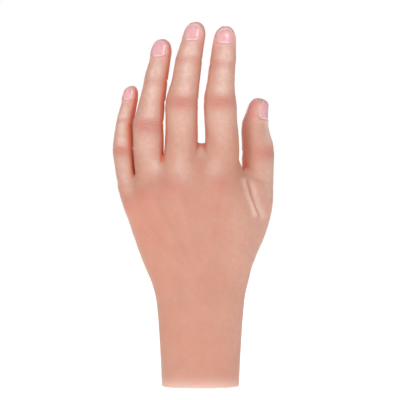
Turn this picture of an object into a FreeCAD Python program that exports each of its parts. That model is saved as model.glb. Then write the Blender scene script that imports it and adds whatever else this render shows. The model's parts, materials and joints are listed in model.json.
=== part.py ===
import FreeCAD, Part
import math
import os

from FreeCAD import Placement, Rotation, Vector

# Cosmetic passive prosthetic hand, left, for a wrist unit with an M12 stud.
#
# Frame: +Z runs from the wrist to the fingertips, +X is the thumb side and -Y is the back of
# the hand. The origin is on the stud's axis, in the plane of the friction washer's underside,
# where the forearm's wrist unit seats. Millimetres.
#
# A silicone glove covers a foam hand. Inside, a chassis plate carries one riveted fork per
# digit, and each digit has two friction hinges: at its base (mcp) and at its middle joint (pip).
# The glove is one piece of silicone. It is divided here at the hinges, with a bevelled gap at
# each, so that its rigid stand-ins stay clear of each other through the travel.

FINGERS = ("index", "middle", "ring", "little")
DIGITS = FINGERS + ("thumb",)

# Centre line and full widths of each digit: x, y, z, width at each anatomical station.
DIGIT_STATIONS = {
    "index": {
        "knuckle": (12.5, 0.0, 77.0, 21.0),
        "base": (14.3, 2.0, 103.0, 22.2),
        "pip": (13.2, 5.0, 132.0, 20.4),
        "dip": (14.9, 10.0, 157.0, 17.4),
        "tip": (16.2, 15.0, 180.0, 13.6),
    },
    "middle": {
        "knuckle": (-16.0, -1.0, 74.0, 21.0),
        "base": (-12.5, 2.0, 103.0, 21.6),
        "pip": (-12.4, 5.0, 131.5, 20.6),
        "dip": (-7.5, 10.0, 159.5, 17.4),
        "tip": (-4.0, 15.5, 183.5, 14.0),
    },
    "ring": {
        "knuckle": (-34.0, 0.5, 69.0, 19.0),
        "base": (-33.7, 3.0, 94.0, 19.0),
        "pip": (-34.3, 6.0, 116.5, 19.6),
        "dip": (-29.6, 12.0, 146.0, 16.0),
        "tip": (-27.2, 18.0, 172.3, 12.6),
    },
    "little": {
        "knuckle": (-44.6, 3.5, 62.0, 12.5),
        "base": (-49.2, 5.0, 82.0, 13.6),
        "pip": (-51.2, 8.0, 99.5, 13.6),
        "dip": (-50.5, 12.0, 119.0, 10.8),
        "tip": (-46.9, 17.0, 141.0, 9.8),
    },
    "thumb": {
        "knuckle": (33.5, 11.0, 52.0, 25.0),
        "base": (37.5, 14.0, 74.0, 21.5),
        "pip": (38.2, 18.0, 100.5, 20.6),
        "dip": (37.4, 20.5, 117.0, 19.0),
        "tip": (38.8, 22.0, 132.5, 15.0),
    },
}
# Depth over width at each station, the same on every digit.
DEPTH_SHARE = {"knuckle": 0.92, "base": 0.92, "pip": 0.91, "dip": 0.88, "tip": 0.84}

# The base hinge: its height, its lean towards the thumb and the turn of its axis about Z.
HINGES = {
    "index": (107.0, 1.7, 0.0),
    "middle": (107.5, 6.4, 0.0),
    "ring": (99.5, 4.6, 0.0),
    "little": (86.0, -3.0, 0.0),
    "thumb": (79.0, 6.0, 53.0),
}
# The hinge eyes' size against the common eye radius.
EYE_SCALE = {"index": 1.0, "middle": 1.0, "ring": 1.0, "little": 0.72, "thumb": 1.0}
# How each finger's strap leans from the chassis plate up to its base hinge.
STRAP_LEAN = {"index": 4.0, "middle": -1.0, "ring": -5.0, "little": -17.0}
# Which way each nail faces: turn about Z from the back of the hand.
NAIL_TURN = {"index": 4.0, "middle": -6.0, "ring": -20.0, "little": -32.0, "thumb": 62.0}

# Cross-sections of the palm and of the sleeve: centre x, centre y, z, width, depth.
PALM_SECTIONS = (
    (0.0, 0.0, 0.0, 56.8, 37.0),
    (-1.0, 0.5, 24.0, 69.0, 36.0),
    (-4.5, 1.0, 45.0, 76.5, 33.0),
    (-10.5, 1.0, 66.0, 81.0, 30.0),
    (-13.5, 1.0, 78.0, 80.5, 26.0),
    (-7.5, 1.5, 90.0, 63.0, 18.0),
    (-1.0, 2.5, 99.0, 38.0, 11.0),
)
THENAR_SECTIONS = (
    (19.0, 6.0, 13.0, 18.0, 17.0),
    (24.0, 8.0, 26.0, 27.0, 25.0),
    (30.0, 10.0, 44.0, 29.0, 27.0),
    (34.6, 12.2, 60.0, 24.0, 22.0),
    (36.6, 13.4, 70.0, 18.0, 16.0),
)
HYPOTHENAR_SECTIONS = (
    (-18.0, 3.0, 11.0, 26.0, 19.0),
    (-24.5, 3.5, 24.0, 30.0, 22.0),
    (-34.0, 3.5, 45.0, 27.0, 19.0),
    (-43.2, 3.8, 62.0, 22.5, 16.2),
    (-47.2, 4.2, 74.0, 12.0, 11.0),
)
CUFF_SECTIONS = (
    (0.0, 0.0, -57.0, 49.5, 38.0),
    (0.0, 0.0, -29.0, 52.4, 38.0),
    (0.0, 0.0, 0.0, 56.8, 37.0),
)

DIMENSIONS = {
    "glove_wall": 1.8,
    "nail_thickness": 0.5,
    "finger_waist": 1.2,
    # clearances of the glove's stand-ins at the hinges
    "mcp_gap": 2.4,
    "mcp_bevel": 8.4,
    "pip_gap": 3.1,
    "pip_bevel": 15.2,
    "foam_setback": 2.0,
    "lane_clearance": 0.6,
    "slab_size": 120.0,
    # armature
    "link_thick": 3.2,
    "link_width": 5.6,
    "eye_radius": 3.2,
    "ear_thick": 1.1,
    "pin_radius": 1.25,
    "pin_head_radius": 2.1,
    "pin_head_thick": 0.7,
    "running_clearance": 0.05,
    "washer_thick": 0.5,
    "strap_thick": 2.5,
    "strap_width": 7.5,
    "rivet_radius": 1.5,
    "rivet_head_radius": 2.6,
    "rivet_head_thick": 1.0,
    "rivet_spacing": 7.0,
    # chassis plate in the palm
    "chassis_thick": 3.0,
    "chassis_bottom": 16.5,
    "chassis_top": 66.0,
    "chassis_bottom_width": 30.0,
    "chassis_left": -43.5,
    "chassis_right": 25.0,
    "chassis_shoulder": 44.0,
    "chassis_corner": 7.0,
    # wrist
    "stud_radius": 6.0,
    "stud_length": 20.0,
    "stud_chamfer": 1.0,
    "shoulder_radius": 7.5,
    "upper_thread_radius": 5.0,
    "upper_thread_top": 15.0,
    "washer_radius": 15.0,
    "wrist_washer_thick": 2.0,
    "plate_thick": 5.0,
    "plate_length": 51.0,
    "plate_depth": 31.0,
    "nut_flats": 17.0,
    "nut_thick": 6.0,
    "block_height": 17.0,
    "block_length": 46.0,
    "block_depth": 27.0,
    "block_pocket_radius": 10.5,
    "block_pocket_depth": 9.0,
    "screw_radius": 2.0,
    "screw_head_radius": 3.8,
    "screw_head_depth": 2.0,
    "screw_length": 14.0,
    "screw_x": 18.0,
    "screw_y": 5.5,
    "cross_bolt_radius": 2.0,
    "cross_bolt_x": 17.0,
    "cross_bolt_z": 20.0,
    "cross_bolt_head_radius": 3.5,
    "cross_bolt_head_thick": 2.0,
}

doc = FreeCAD.newDocument("prosthetic_hand")
dims = doc.addObject("Spreadsheet::Sheet", "dims")
values = {}


def add_cell(alias, value):
    row = len(values) + 1
    dims.set(f"A{row}", alias)
    dims.set(f"B{row}", str(value))
    dims.setAlias(f"B{row}", alias)
    values[alias] = float(value)


for alias, value in DIMENSIONS.items():
    add_cell(alias, value)
for digit, stations in DIGIT_STATIONS.items():
    for station, numbers in stations.items():
        for axis, value in zip("xyzw", numbers):
            add_cell(f"{digit}_{station}_{axis}", value)
for station, share in DEPTH_SHARE.items():
    add_cell(f"{station}_depth_share", share)
for digit, numbers in HINGES.items():
    for label, value in zip(("hinge_z", "hinge_lean", "hinge_turn"), numbers):
        add_cell(f"{digit}_{label}", value)
for digit, value in NAIL_TURN.items():
    add_cell(f"{digit}_nail_turn", value)
for digit, value in EYE_SCALE.items():
    add_cell(f"{digit}_eye_scale", value)
for digit, value in STRAP_LEAN.items():
    add_cell(f"{digit}_strap_lean", value)
SECTION_SETS = {
    "palm": PALM_SECTIONS,
    "thenar": THENAR_SECTIONS,
    "hypothenar": HYPOTHENAR_SECTIONS,
    "cuff": CUFF_SECTIONS,
}
for group, sections in SECTION_SETS.items():
    for number, section in enumerate(sections):
        for label, value in zip(("x", "y", "z", "w", "d"), section):
            add_cell(f"{group}_{number}_{label}", value)
doc.recompute()

kept = {}  # node name: object, for every sub-part that is written


# ---------------------------------------------------------------- small builders


def v(alias):
    return values[alias]


def keep(obj, node):
    obj.Label = node
    kept[node] = obj
    return obj


def box(name, length, width, height, placement):
    """A Part::Box with sizes as expressions of the sheet, its corner at the placement."""
    made = doc.addObject("Part::Box", name)
    for prop, size in (("Length", length), ("Width", width), ("Height", height)):
        made.setExpression(prop, size)
    made.Placement = placement
    return made


def cylinder(name, radius, height, placement):
    made = doc.addObject("Part::Cylinder", name)
    made.setExpression("Radius", radius)
    made.setExpression("Height", height)
    made.Placement = placement
    return made


def fuse(name, shapes):
    if len(shapes) == 1:
        return shapes[0]
    made = doc.addObject("Part::MultiFuse", name)
    made.Shapes = shapes
    return made


def common(name, shapes):
    made = doc.addObject("Part::MultiCommon", name)
    made.Shapes = shapes
    return made


def cut(name, base, tool):
    made = doc.addObject("Part::Cut", name)
    made.Base = base
    made.Tool = tool
    return made


def at(x, y, z):
    return Placement(Vector(x, y, z), Rotation())


def turned(axis, degrees):
    return Placement(Vector(), Rotation(axis, degrees))


X_AXIS, Y_AXIS, Z_AXIS = Vector(1, 0, 0), Vector(0, 1, 0), Vector(0, 0, 1)
ALONG_X = turned(Y_AXIS, 90)  # carries a cylinder's axis from Z to X
ALONG_MINUS_Y = turned(X_AXIS, 90)


def ellipse(name, x, y, z, width, depth, turn=0.0):
    """A level ellipse, wider along its own x. All sizes are expressions."""
    made = doc.addObject("Part::Ellipse", name)
    made.setExpression("MajorRadius", f"({width}) / 2")
    made.setExpression("MinorRadius", f"({depth}) / 2")
    made.Placement = turned(Z_AXIS, turn)
    for axis, place in (("x", x), ("y", y), ("z", z)):
        made.setExpression(f"Placement.Base.{axis}", place)
    return made


def loft(name, sections, ruled=True):
    made = doc.addObject("Part::Loft", name)
    made.Sections = sections
    made.Solid = True
    made.Ruled = ruled
    return made


# ---------------------------------------------------------------- frames of the digits


def point(digit, station):
    return Vector(*(v(f"{digit}_{station}_{axis}") for axis in "xyz"))


def hinge_frame(digit):
    """The base hinge's frame: x along the pin, y the way the digit flexes, z along the digit."""
    base, pip = point(digit, "base"), point(digit, "pip")
    height = v(f"{digit}_hinge_z")
    share = (height - base.z) / (pip.z - base.z)
    centre = base + (pip - base) * share
    turn = Rotation(Z_AXIS, v(f"{digit}_hinge_turn"))
    lean = Rotation(Y_AXIS, v(f"{digit}_hinge_lean"))
    return Placement(centre, turn * lean)


def pip_frame(digit):
    """The middle hinge's frame, parallel to the base hinge's and in the same armature plane."""
    frame = hinge_frame(digit)
    local = frame.inverse().multVec(point(digit, "pip"))
    return frame * at(0, local.y, local.z)


def half_space(name, frame, gap, bevel, above):
    """A slab on one side of a hinge, from a bevelled plane that gives way on the palm side."""
    size = v("slab_size")
    tilt = bevel if above else -bevel
    start = gap if above else -gap - size
    placement = frame * turned(X_AXIS, tilt) * at(-size / 2, -size / 2, start)
    return box(name, "dims.slab_size", "dims.slab_size", "dims.slab_size", placement)


# ---------------------------------------------------------------- glove and foam shapes


def digit_loft(digit, inset, grow="0"):
    """The digit's outer shape from knuckle to tip, made smaller all round by inset."""
    turn = v(f"{digit}_hinge_turn")
    cell = f"dims.{digit}_"
    less = f" - 2 * ({inset}) + 2 * ({grow})"
    sections = []

    def add(label, x, y, z, width, share):
        sections.append(
            ellipse(f"{digit}_{label}", x, y, z, f"{width}{less}", f"({width}) * {share}{less}", turn)
        )

    for station in ("knuckle", "base", "pip"):
        add(
            station,
            *(f"{cell}{station}_{axis}" for axis in "xyz"),
            f"{cell}{station}_w",
            f"dims.{station}_depth_share",
        )
    middle = [f"({cell}pip_{axis} + {cell}dip_{axis}) / 2" for axis in "xyz"]
    add("waist", *middle, f"(({cell}pip_w + {cell}dip_w) / 2 - dims.finger_waist)", "dims.dip_depth_share")
    add("dip", *(f"{cell}dip_{axis}" for axis in "xyz"), f"{cell}dip_w", "dims.dip_depth_share")
    nail = [f"({cell}dip_{axis} * 0.35 + {cell}tip_{axis} * 0.65)" for axis in "xyz"]
    add("nail", *nail, f"{cell}tip_w", "dims.tip_depth_share")
    for label, below, share in (("pulp", 2.2, 0.72), ("end", 0.0, 0.36)):
        place = [f"{cell}tip_x", f"{cell}tip_y", f"{cell}tip_z - ({inset}) + ({grow}) - {below}"]
        add(label, *place, f"{cell}tip_w * {share} + ({inset}) * {1 - share}", "dims.tip_depth_share")
    return loft(f"{digit}_loft", sections)


def section_loft(group, inset, turn=0.0):
    less = f" - 2 * ({inset})"
    sections = []
    for number in range(len(SECTION_SETS[group])):
        cell = f"dims.{group}_{number}_"
        sizes = [f"{cell}{size}{less}" for size in ("w", "d")]
        sections.append(ellipse(f"{group}_section", f"{cell}x", f"{cell}y", f"{cell}z", *sizes, turn))
    return loft(f"{group}_loft", sections)


def lane(digit):
    """The room above a digit's base hinge that the palm leaves free, from back to front."""
    frame = hinge_frame(digit)
    half = v(f"{digit}_base_w") / 2 + v("lane_clearance")
    size = v("slab_size")
    placement = frame * turned(X_AXIS, -v("mcp_bevel")) * at(-half, -size / 2, -v("mcp_gap"))
    width = f"dims.{digit}_base_w + 2 * dims.lane_clearance"
    return box(f"{digit}_lane", width, "dims.slab_size", "dims.slab_size", placement)


def palm_shape(inset, setback):
    """Palm, thenar and the stubs of the digits up to their base hinges, as one solid."""
    palm = section_loft("palm", inset)
    lanes = fuse("lanes", [lane(digit) for digit in DIGITS])
    trimmed = cut("palm_trimmed", palm, lanes)
    thenar = section_loft("thenar", inset, v("thumb_hinge_turn"))
    parts = [trimmed]
    for digit in DIGITS:
        gap = v("mcp_gap") + setback
        below = half_space(f"{digit}_below", hinge_frame(digit), gap, v("mcp_bevel"), above=False)
        if digit == "thumb":
            whole = fuse("thumb_ray", [thenar, digit_loft(digit, inset)])
        elif digit == "little":
            hypothenar = section_loft("hypothenar", inset, 90.0)
            whole = fuse("little_ray", [hypothenar, digit_loft(digit, inset)])
        else:
            whole = digit_loft(digit, inset)
        parts.append(common(f"{digit}_stub", [whole, below]))
    return fuse("palm_body", parts)


def build_glove():
    """The glove's palm and open sleeve. Returns the palm's inner shape, for the foam."""
    outer = palm_shape("0", 0.0)
    inner = palm_shape("dims.glove_wall", 0.0)
    keep(cut("GlovePalm", outer, inner), "glove_palm")
    sleeve = section_loft("cuff", "0")
    hollow = section_loft("cuff", "dims.glove_wall")
    keep(cut("GloveCuff", sleeve, hollow), "glove_cuff")
    return palm_shape("dims.glove_wall", v("foam_setback"))


def build_digit_covers(digit):
    """The glove's two tubes on a digit, the foam in them and the nail."""
    base, pip = hinge_frame(digit), pip_frame(digit)
    mcp_gap, mcp_bevel = v("mcp_gap"), v("mcp_bevel")
    pip_gap, pip_bevel = v("pip_gap"), v("pip_bevel")
    back = v("foam_setback")

    def slabs(extra):
        return (
            half_space("above_mcp", base, mcp_gap + extra, mcp_bevel, above=True),
            half_space("below_pip", pip, pip_gap + extra, pip_bevel, above=False),
            half_space("above_pip", pip, pip_gap + extra, pip_bevel, above=True),
        )

    skin = cut("skin", digit_loft(digit, "0"), digit_loft(digit, "dims.glove_wall"))
    above_mcp, below_pip, above_pip = slabs(0.0)
    keep(common("ProximalGlove", [skin, above_mcp, below_pip]), f"{digit}_glove_proximal")
    keep(common("DistalGlove", [skin, above_pip]), f"{digit}_glove_distal")

    core = digit_loft(digit, "dims.glove_wall")
    above_mcp, below_pip, above_pip = slabs(back)
    cores = {
        "proximal": common("proximal_core", [core, above_mcp, below_pip]),
        "distal": common("distal_core", [core, above_pip]),
    }

    over = cut("over_skin", digit_loft(digit, "0", "dims.nail_thickness"), digit_loft(digit, "0"))
    tip, dip = point(digit, "tip"), point(digit, "dip")
    width = v(f"{digit}_tip_w") * 0.86
    length = v(f"{digit}_tip_w") * 0.9
    top = tip.z - 2.4
    share = (tip.z - (top - length / 2)) / (tip.z - dip.z)
    centre = tip + (dip - tip) * share
    turn = v(f"{digit}_nail_turn")
    corner = at(centre.x, centre.y, top - length) * turned(Z_AXIS, turn) * at(-width / 2, -21, 0)
    window = box("nail_window", f"dims.{digit}_tip_w * 0.86", "20", f"dims.{digit}_tip_w * 0.9", corner)
    keep(common("Nail", [over, window]), f"{digit}_nail")
    return cores


# ---------------------------------------------------------------- armature


def link_outline(sketch, length, hole_radii, end_radius):
    """A bar with round ends along the sketch's y, from the origin up, and a hole at each eye."""
    r = end_radius
    edges = [
        Part.Arc(Vector(-r, 0, 0), Vector(0, -r, 0), Vector(r, 0, 0)),
        Part.LineSegment(Vector(r, 0, 0), Vector(r, length, 0)),
        Part.Arc(Vector(r, length, 0), Vector(0, length + r, 0), Vector(-r, length, 0)),
        Part.LineSegment(Vector(-r, length, 0), Vector(-r, 0, 0)),
    ]
    sketch.addGeometry(edges, False)
    for height, radius in hole_radii:
        sketch.addGeometry(Part.Circle(Vector(0, height, 0), Z_AXIS, radius), False)


def bar(name, length, thickness, hole_radii, end_radius, placement, offset=0.0):
    """A padded bar: flat in the armature plane, its thickness along the hinge pins."""
    body = doc.addObject("PartDesign::Body", name)
    sketch = body.newObject("Sketcher::SketchObject", f"{name}Outline")
    plane = next(o for o in body.Origin.OriginFeatures if o.Role == "YZ_Plane")
    sketch.AttachmentSupport = [(plane, "")]
    sketch.MapMode = "FlatFace"
    sketch.AttachmentOffset = at(0, 0, offset)
    link_outline(sketch, length, hole_radii, end_radius)
    pad = body.newObject("PartDesign::Pad", f"{name}Pad")
    pad.Profile = sketch
    pad.setExpression("Length", thickness)
    pad.Midplane = True
    body.Placement = placement
    return body


def fork(name, gap, reach, end_radius, placement):
    """Two ears about a hinge at the placement, joined by a bridge at the far end of reach."""
    ear = v("ear_thick")
    sign = 1 if reach > 0 else -1
    ears = []
    for side in (-1, 1):
        offset = side * (gap + ear) / 2
        turn = turned(X_AXIS, 0 if sign > 0 else 180)
        hole = [(0, v("pin_radius"))]
        ears.append(
            bar(f"{name}Ear", abs(reach) - end_radius, "dims.ear_thick", hole, end_radius, placement * turn, offset)
        )
    outer = gap + 2 * ear
    thick = 0.8 * end_radius
    bridge_bottom = reach if sign < 0 else reach - thick
    corner = placement * at(-outer / 2, -end_radius, bridge_bottom)
    bridge = doc.addObject("Part::Box", f"{name}Bridge")
    bridge.Length, bridge.Width, bridge.Height = outer, 2 * end_radius, thick
    bridge.Placement = corner
    return ears + [bridge]


def hinge_pin(name, span, placement):
    """A riveted pin across a fork, centred on the hinge, with a head at each end."""
    clear = v("pin_head_thick")
    shank = doc.addObject("Part::Cylinder", f"{name}Shank")
    shank.setExpression("Radius", "dims.pin_radius")
    shank.Height = span
    shank.Placement = placement * ALONG_X * at(0, 0, -span / 2)
    heads = []
    for start in (-span / 2 - clear, span / 2):
        place = placement * ALONG_X * at(0, 0, start)
        heads.append(cylinder(f"{name}Head", "dims.pin_head_radius", "dims.pin_head_thick", place))
    return fuse(name, [shank] + heads)


def ring(name, outer, inner, thick, placement):
    """A flat ring whose axis is the placement's z. All sizes are expressions."""
    disc = cylinder(f"{name}Disc", outer, thick, placement)
    hole = cylinder(f"{name}Hole", inner, f"{thick} + 2", placement * at(0, 0, -1))
    return cut(name, disc, hole)


def eye_of(digit):
    return v("eye_radius") * v(f"{digit}_eye_scale")


def mcp_gap_width():
    return v("link_thick") + 2 * v("washer_thick") + 2 * v("running_clearance")


def pip_gap_width():
    return v("link_thick") + 2 * v("running_clearance")


def build_armature(digit, cores, pins, washers):
    """Both links of a digit, its middle pin, and its share of the base pins and washers."""
    base, pip = hinge_frame(digit), pip_frame(digit)
    eye = eye_of(digit)
    hole = v("pin_radius") + v("running_clearance")
    local = base.inverse().multVec(pip.Base)
    length = math.hypot(local.y, local.z)
    tilt = -math.degrees(math.atan2(local.y, local.z))
    along = base * turned(X_AXIS, tilt)
    holes = [(0, hole), (length, hole)]
    link = bar(f"{digit}ProximalLink", length, "dims.link_thick", holes, eye, along)
    keep(link, f"{digit}_proximal_link")

    # the distal link: a fork on the proximal link's upper eye, and a flat tongue into the tip
    tip_local = pip.inverse().multVec(point(digit, "tip"))
    rise = tip_local.z
    lean = -math.degrees(math.atan2(tip_local.y, tip_local.z))
    up = pip * turned(X_AXIS, lean)
    reach = 2.1 * eye
    parts = fork(f"{digit}Fork", pip_gap_width(), reach, eye, up)
    tongue_end = rise * 0.56
    half_width = v("link_width") / 2 * v(f"{digit}_eye_scale")
    start = up * at(0, 0, reach)
    tongue = bar(f"{digit}Tongue", tongue_end - reach, "dims.ear_thick * 2", [], half_width, start)
    keep(fuse(f"{digit}DistalLink", parts + [tongue]), f"{digit}_distal_link")

    span = pip_gap_width() + 2 * v("ear_thick")
    keep(hinge_pin(f"{digit}PipPin", span, pip), f"{digit}_pip_pin")
    pins.append(hinge_pin(f"{digit}McpPin", mcp_gap_width() + 2 * v("ear_thick"), base))

    half_link = v("link_thick") / 2 + v("running_clearance")
    for start in (-half_link - v("washer_thick"), half_link):
        place = base * ALONG_X * at(0, 0, start)
        bore = "dims.pin_radius + dims.running_clearance"
        outer = f"dims.eye_radius * dims.{digit}_eye_scale - 0.4"
        washers.append(ring(f"{digit}Washer", outer, bore, "dims.washer_thick", place))

    # foam: moulded round the links, with a free pocket about each fork
    pocket_width = pip_gap_width() + 2 * v("ear_thick") + 2 * v("pin_head_thick") + 1
    pocket_radius = eye + 0.5
    pockets = []
    for place in (base, pip):
        barrel = doc.addObject("Part::Cylinder", f"{digit}Pocket")
        barrel.Radius, barrel.Height = pocket_radius, pocket_width + 1
        barrel.Placement = place * ALONG_X * at(0, 0, -(pocket_width + 1) / 2)
        pockets.append(barrel)
    tool = fuse(f"{digit}ProximalTool", [link] + pockets)
    keep(cut(f"{digit}ProximalFoam", cores["proximal"], tool), f"{digit}_proximal_foam")
    tool = fuse(f"{digit}DistalTool", [kept[f"{digit}_distal_link"], pockets[1]])
    keep(cut(f"{digit}DistalFoam", cores["distal"], tool), f"{digit}_distal_foam")


def rivets(name, places, depth):
    """Solid rivets through two laps, each a shank along the placement's z with two heads."""
    made = []
    for number, place in enumerate(places):
        shank = doc.addObject("Part::Cylinder", f"{name}Shank{number}")
        shank.setExpression("Radius", "dims.rivet_radius")
        shank.Height = depth
        shank.Placement = place
        parts = [shank]
        for start in (-v("rivet_head_thick"), depth):
            head = place * at(0, 0, start)
            parts.append(cylinder(f"{name}Head", "dims.rivet_head_radius", "dims.rivet_head_thick", head))
        made.append(fuse(f"{name}{number}", parts))
    return made


def build_finger_bracket(digit):
    """A fork for the base hinge on a strap that laps the chassis plate's front. Returns its rivets."""
    frame = hinge_frame(digit)
    eye = eye_of(digit)
    reach = -2.6 * eye
    parts = fork(f"{digit}Bracket", mcp_gap_width(), reach, eye, frame)
    back = v("chassis_thick") / 2 - frame.Base.y
    lean = v(f"{digit}_strap_lean")
    ray = Placement(frame.Base, Rotation(Y_AXIS, lean))
    lap_bottom = v("chassis_top") - 2.3 * v("rivet_spacing")
    drop = (frame.Base.z - lap_bottom) / math.cos(math.radians(lean))
    width = v("strap_width") * v(f"{digit}_eye_scale")
    strap = doc.addObject("Part::Box", f"{digit}Strap")
    strap.Length, strap.Width, strap.Height = width, v("strap_thick"), drop + reach + eye
    strap.Placement = ray * at(-width / 2, back, -drop)
    parts.append(strap)
    step = doc.addObject("Part::Box", f"{digit}Step")
    step_back = min(back, -eye)
    step.Length, step.Width, step.Height = width, eye - step_back, 0.8 * eye
    step.Placement = frame * at(-width / 2, step_back, reach)
    parts.append(step)
    body = fuse(f"{digit}BracketBody", parts)
    places = []
    for number in range(2):
        low = lap_bottom + v("rivet_spacing") * (number + 0.6)
        local_z = -(frame.Base.z - low) / math.cos(math.radians(lean))
        places.append(ray * at(0, back - v("chassis_thick"), local_z) * turned(X_AXIS, -90))
    set_of = rivets(f"{digit}Rivet", places, v("strap_thick") + v("chassis_thick"))
    return body, set_of


def build_thumb_bracket():
    """The thumb's fork on a post, with an arm that reaches to the back of the chassis plate."""
    frame = hinge_frame("thumb")
    eye = eye_of("thumb")
    reach = -2.6 * eye
    parts = fork("thumbBracket", mcp_gap_width(), reach, eye, frame)
    outer = mcp_gap_width() + 2 * v("ear_thick")
    post = doc.addObject("Part::Box", "thumbPost")
    post_drop = 24.0
    post.Length, post.Width, post.Height = outer, 2 * eye, post_drop
    post.Placement = frame * at(-outer / 2, -eye, reach - post_drop)
    parts.append(post)
    # the arm runs level from the post to the plate's back, past its edge
    arm_height = v("strap_width")
    behind = -v("chassis_thick") / 2 - v("strap_thick")
    start = Vector(frame.Base.x, frame.Base.y, 0) + frame.Rotation.multVec(Vector(0, 0, reach - post_drop))
    start.z += frame.Base.z
    lap_end = v("chassis_right") + 1.5
    run = Vector(lap_end - 0.5, behind + v("strap_thick") / 2, start.z) - start
    heading = math.degrees(math.atan2(run.y, run.x))
    arm = doc.addObject("Part::Box", "thumbArm")
    arm.Length, arm.Width, arm.Height = run.Length + 1.0, v("strap_thick"), arm_height
    arm.Placement = Placement(start, Rotation(Z_AXIS, heading)) * at(0, -v("strap_thick") / 2, 0)
    parts.append(arm)
    lap = doc.addObject("Part::Box", "thumbLap")
    lap_length = v("rivet_spacing") + 5.0
    lap.Length, lap.Width, lap.Height = lap_length, v("strap_thick"), arm_height
    lap.Placement = at(lap_end - lap_length, behind, start.z)
    parts.append(lap)
    body = fuse("thumbBracketBody", parts)
    places = []
    for number in range(2):
        x = lap_end - lap_length + 2.8 + number * (v("rivet_spacing") - 1.0)
        places.append(at(x, behind, start.z + arm_height / 2) * turned(X_AXIS, -90))
    return body, rivets("thumbRivet", places, v("strap_thick") + v("chassis_thick"))


def chassis_plate():
    """A flat plate in the palm, narrow at the wrist and wide under the knuckles."""
    body = doc.addObject("PartDesign::Body", "ChassisPlate")
    sketch = body.newObject("Sketcher::SketchObject", "ChassisOutline")
    plane = next(o for o in body.Origin.OriginFeatures if o.Role == "XZ_Plane")
    sketch.AttachmentSupport = [(plane, "")]
    sketch.MapMode = "FlatFace"
    half = v("chassis_bottom_width") / 2
    left, right, corner = v("chassis_left"), v("chassis_right"), v("chassis_corner")
    low, shoulder, top = v("chassis_bottom"), v("chassis_shoulder"), v("chassis_top")
    corners = [
        (-half, low),
        (half, low),
        (right, shoulder),
        (right, top - corner),
        (right - corner, top),
        (left + corner, top),
        (left, top - corner),
        (left + corner, shoulder),
    ]
    for number, (x, z) in enumerate(corners):
        x2, z2 = corners[(number + 1) % len(corners)]
        sketch.addGeometry(Part.LineSegment(Vector(x, z, 0), Vector(x2, z2, 0)), False)
    pad = body.newObject("PartDesign::Pad", "ChassisPad")
    pad.Profile = sketch
    pad.setExpression("Length", "dims.chassis_thick")
    pad.Midplane = True
    return body


# ---------------------------------------------------------------- wrist


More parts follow.
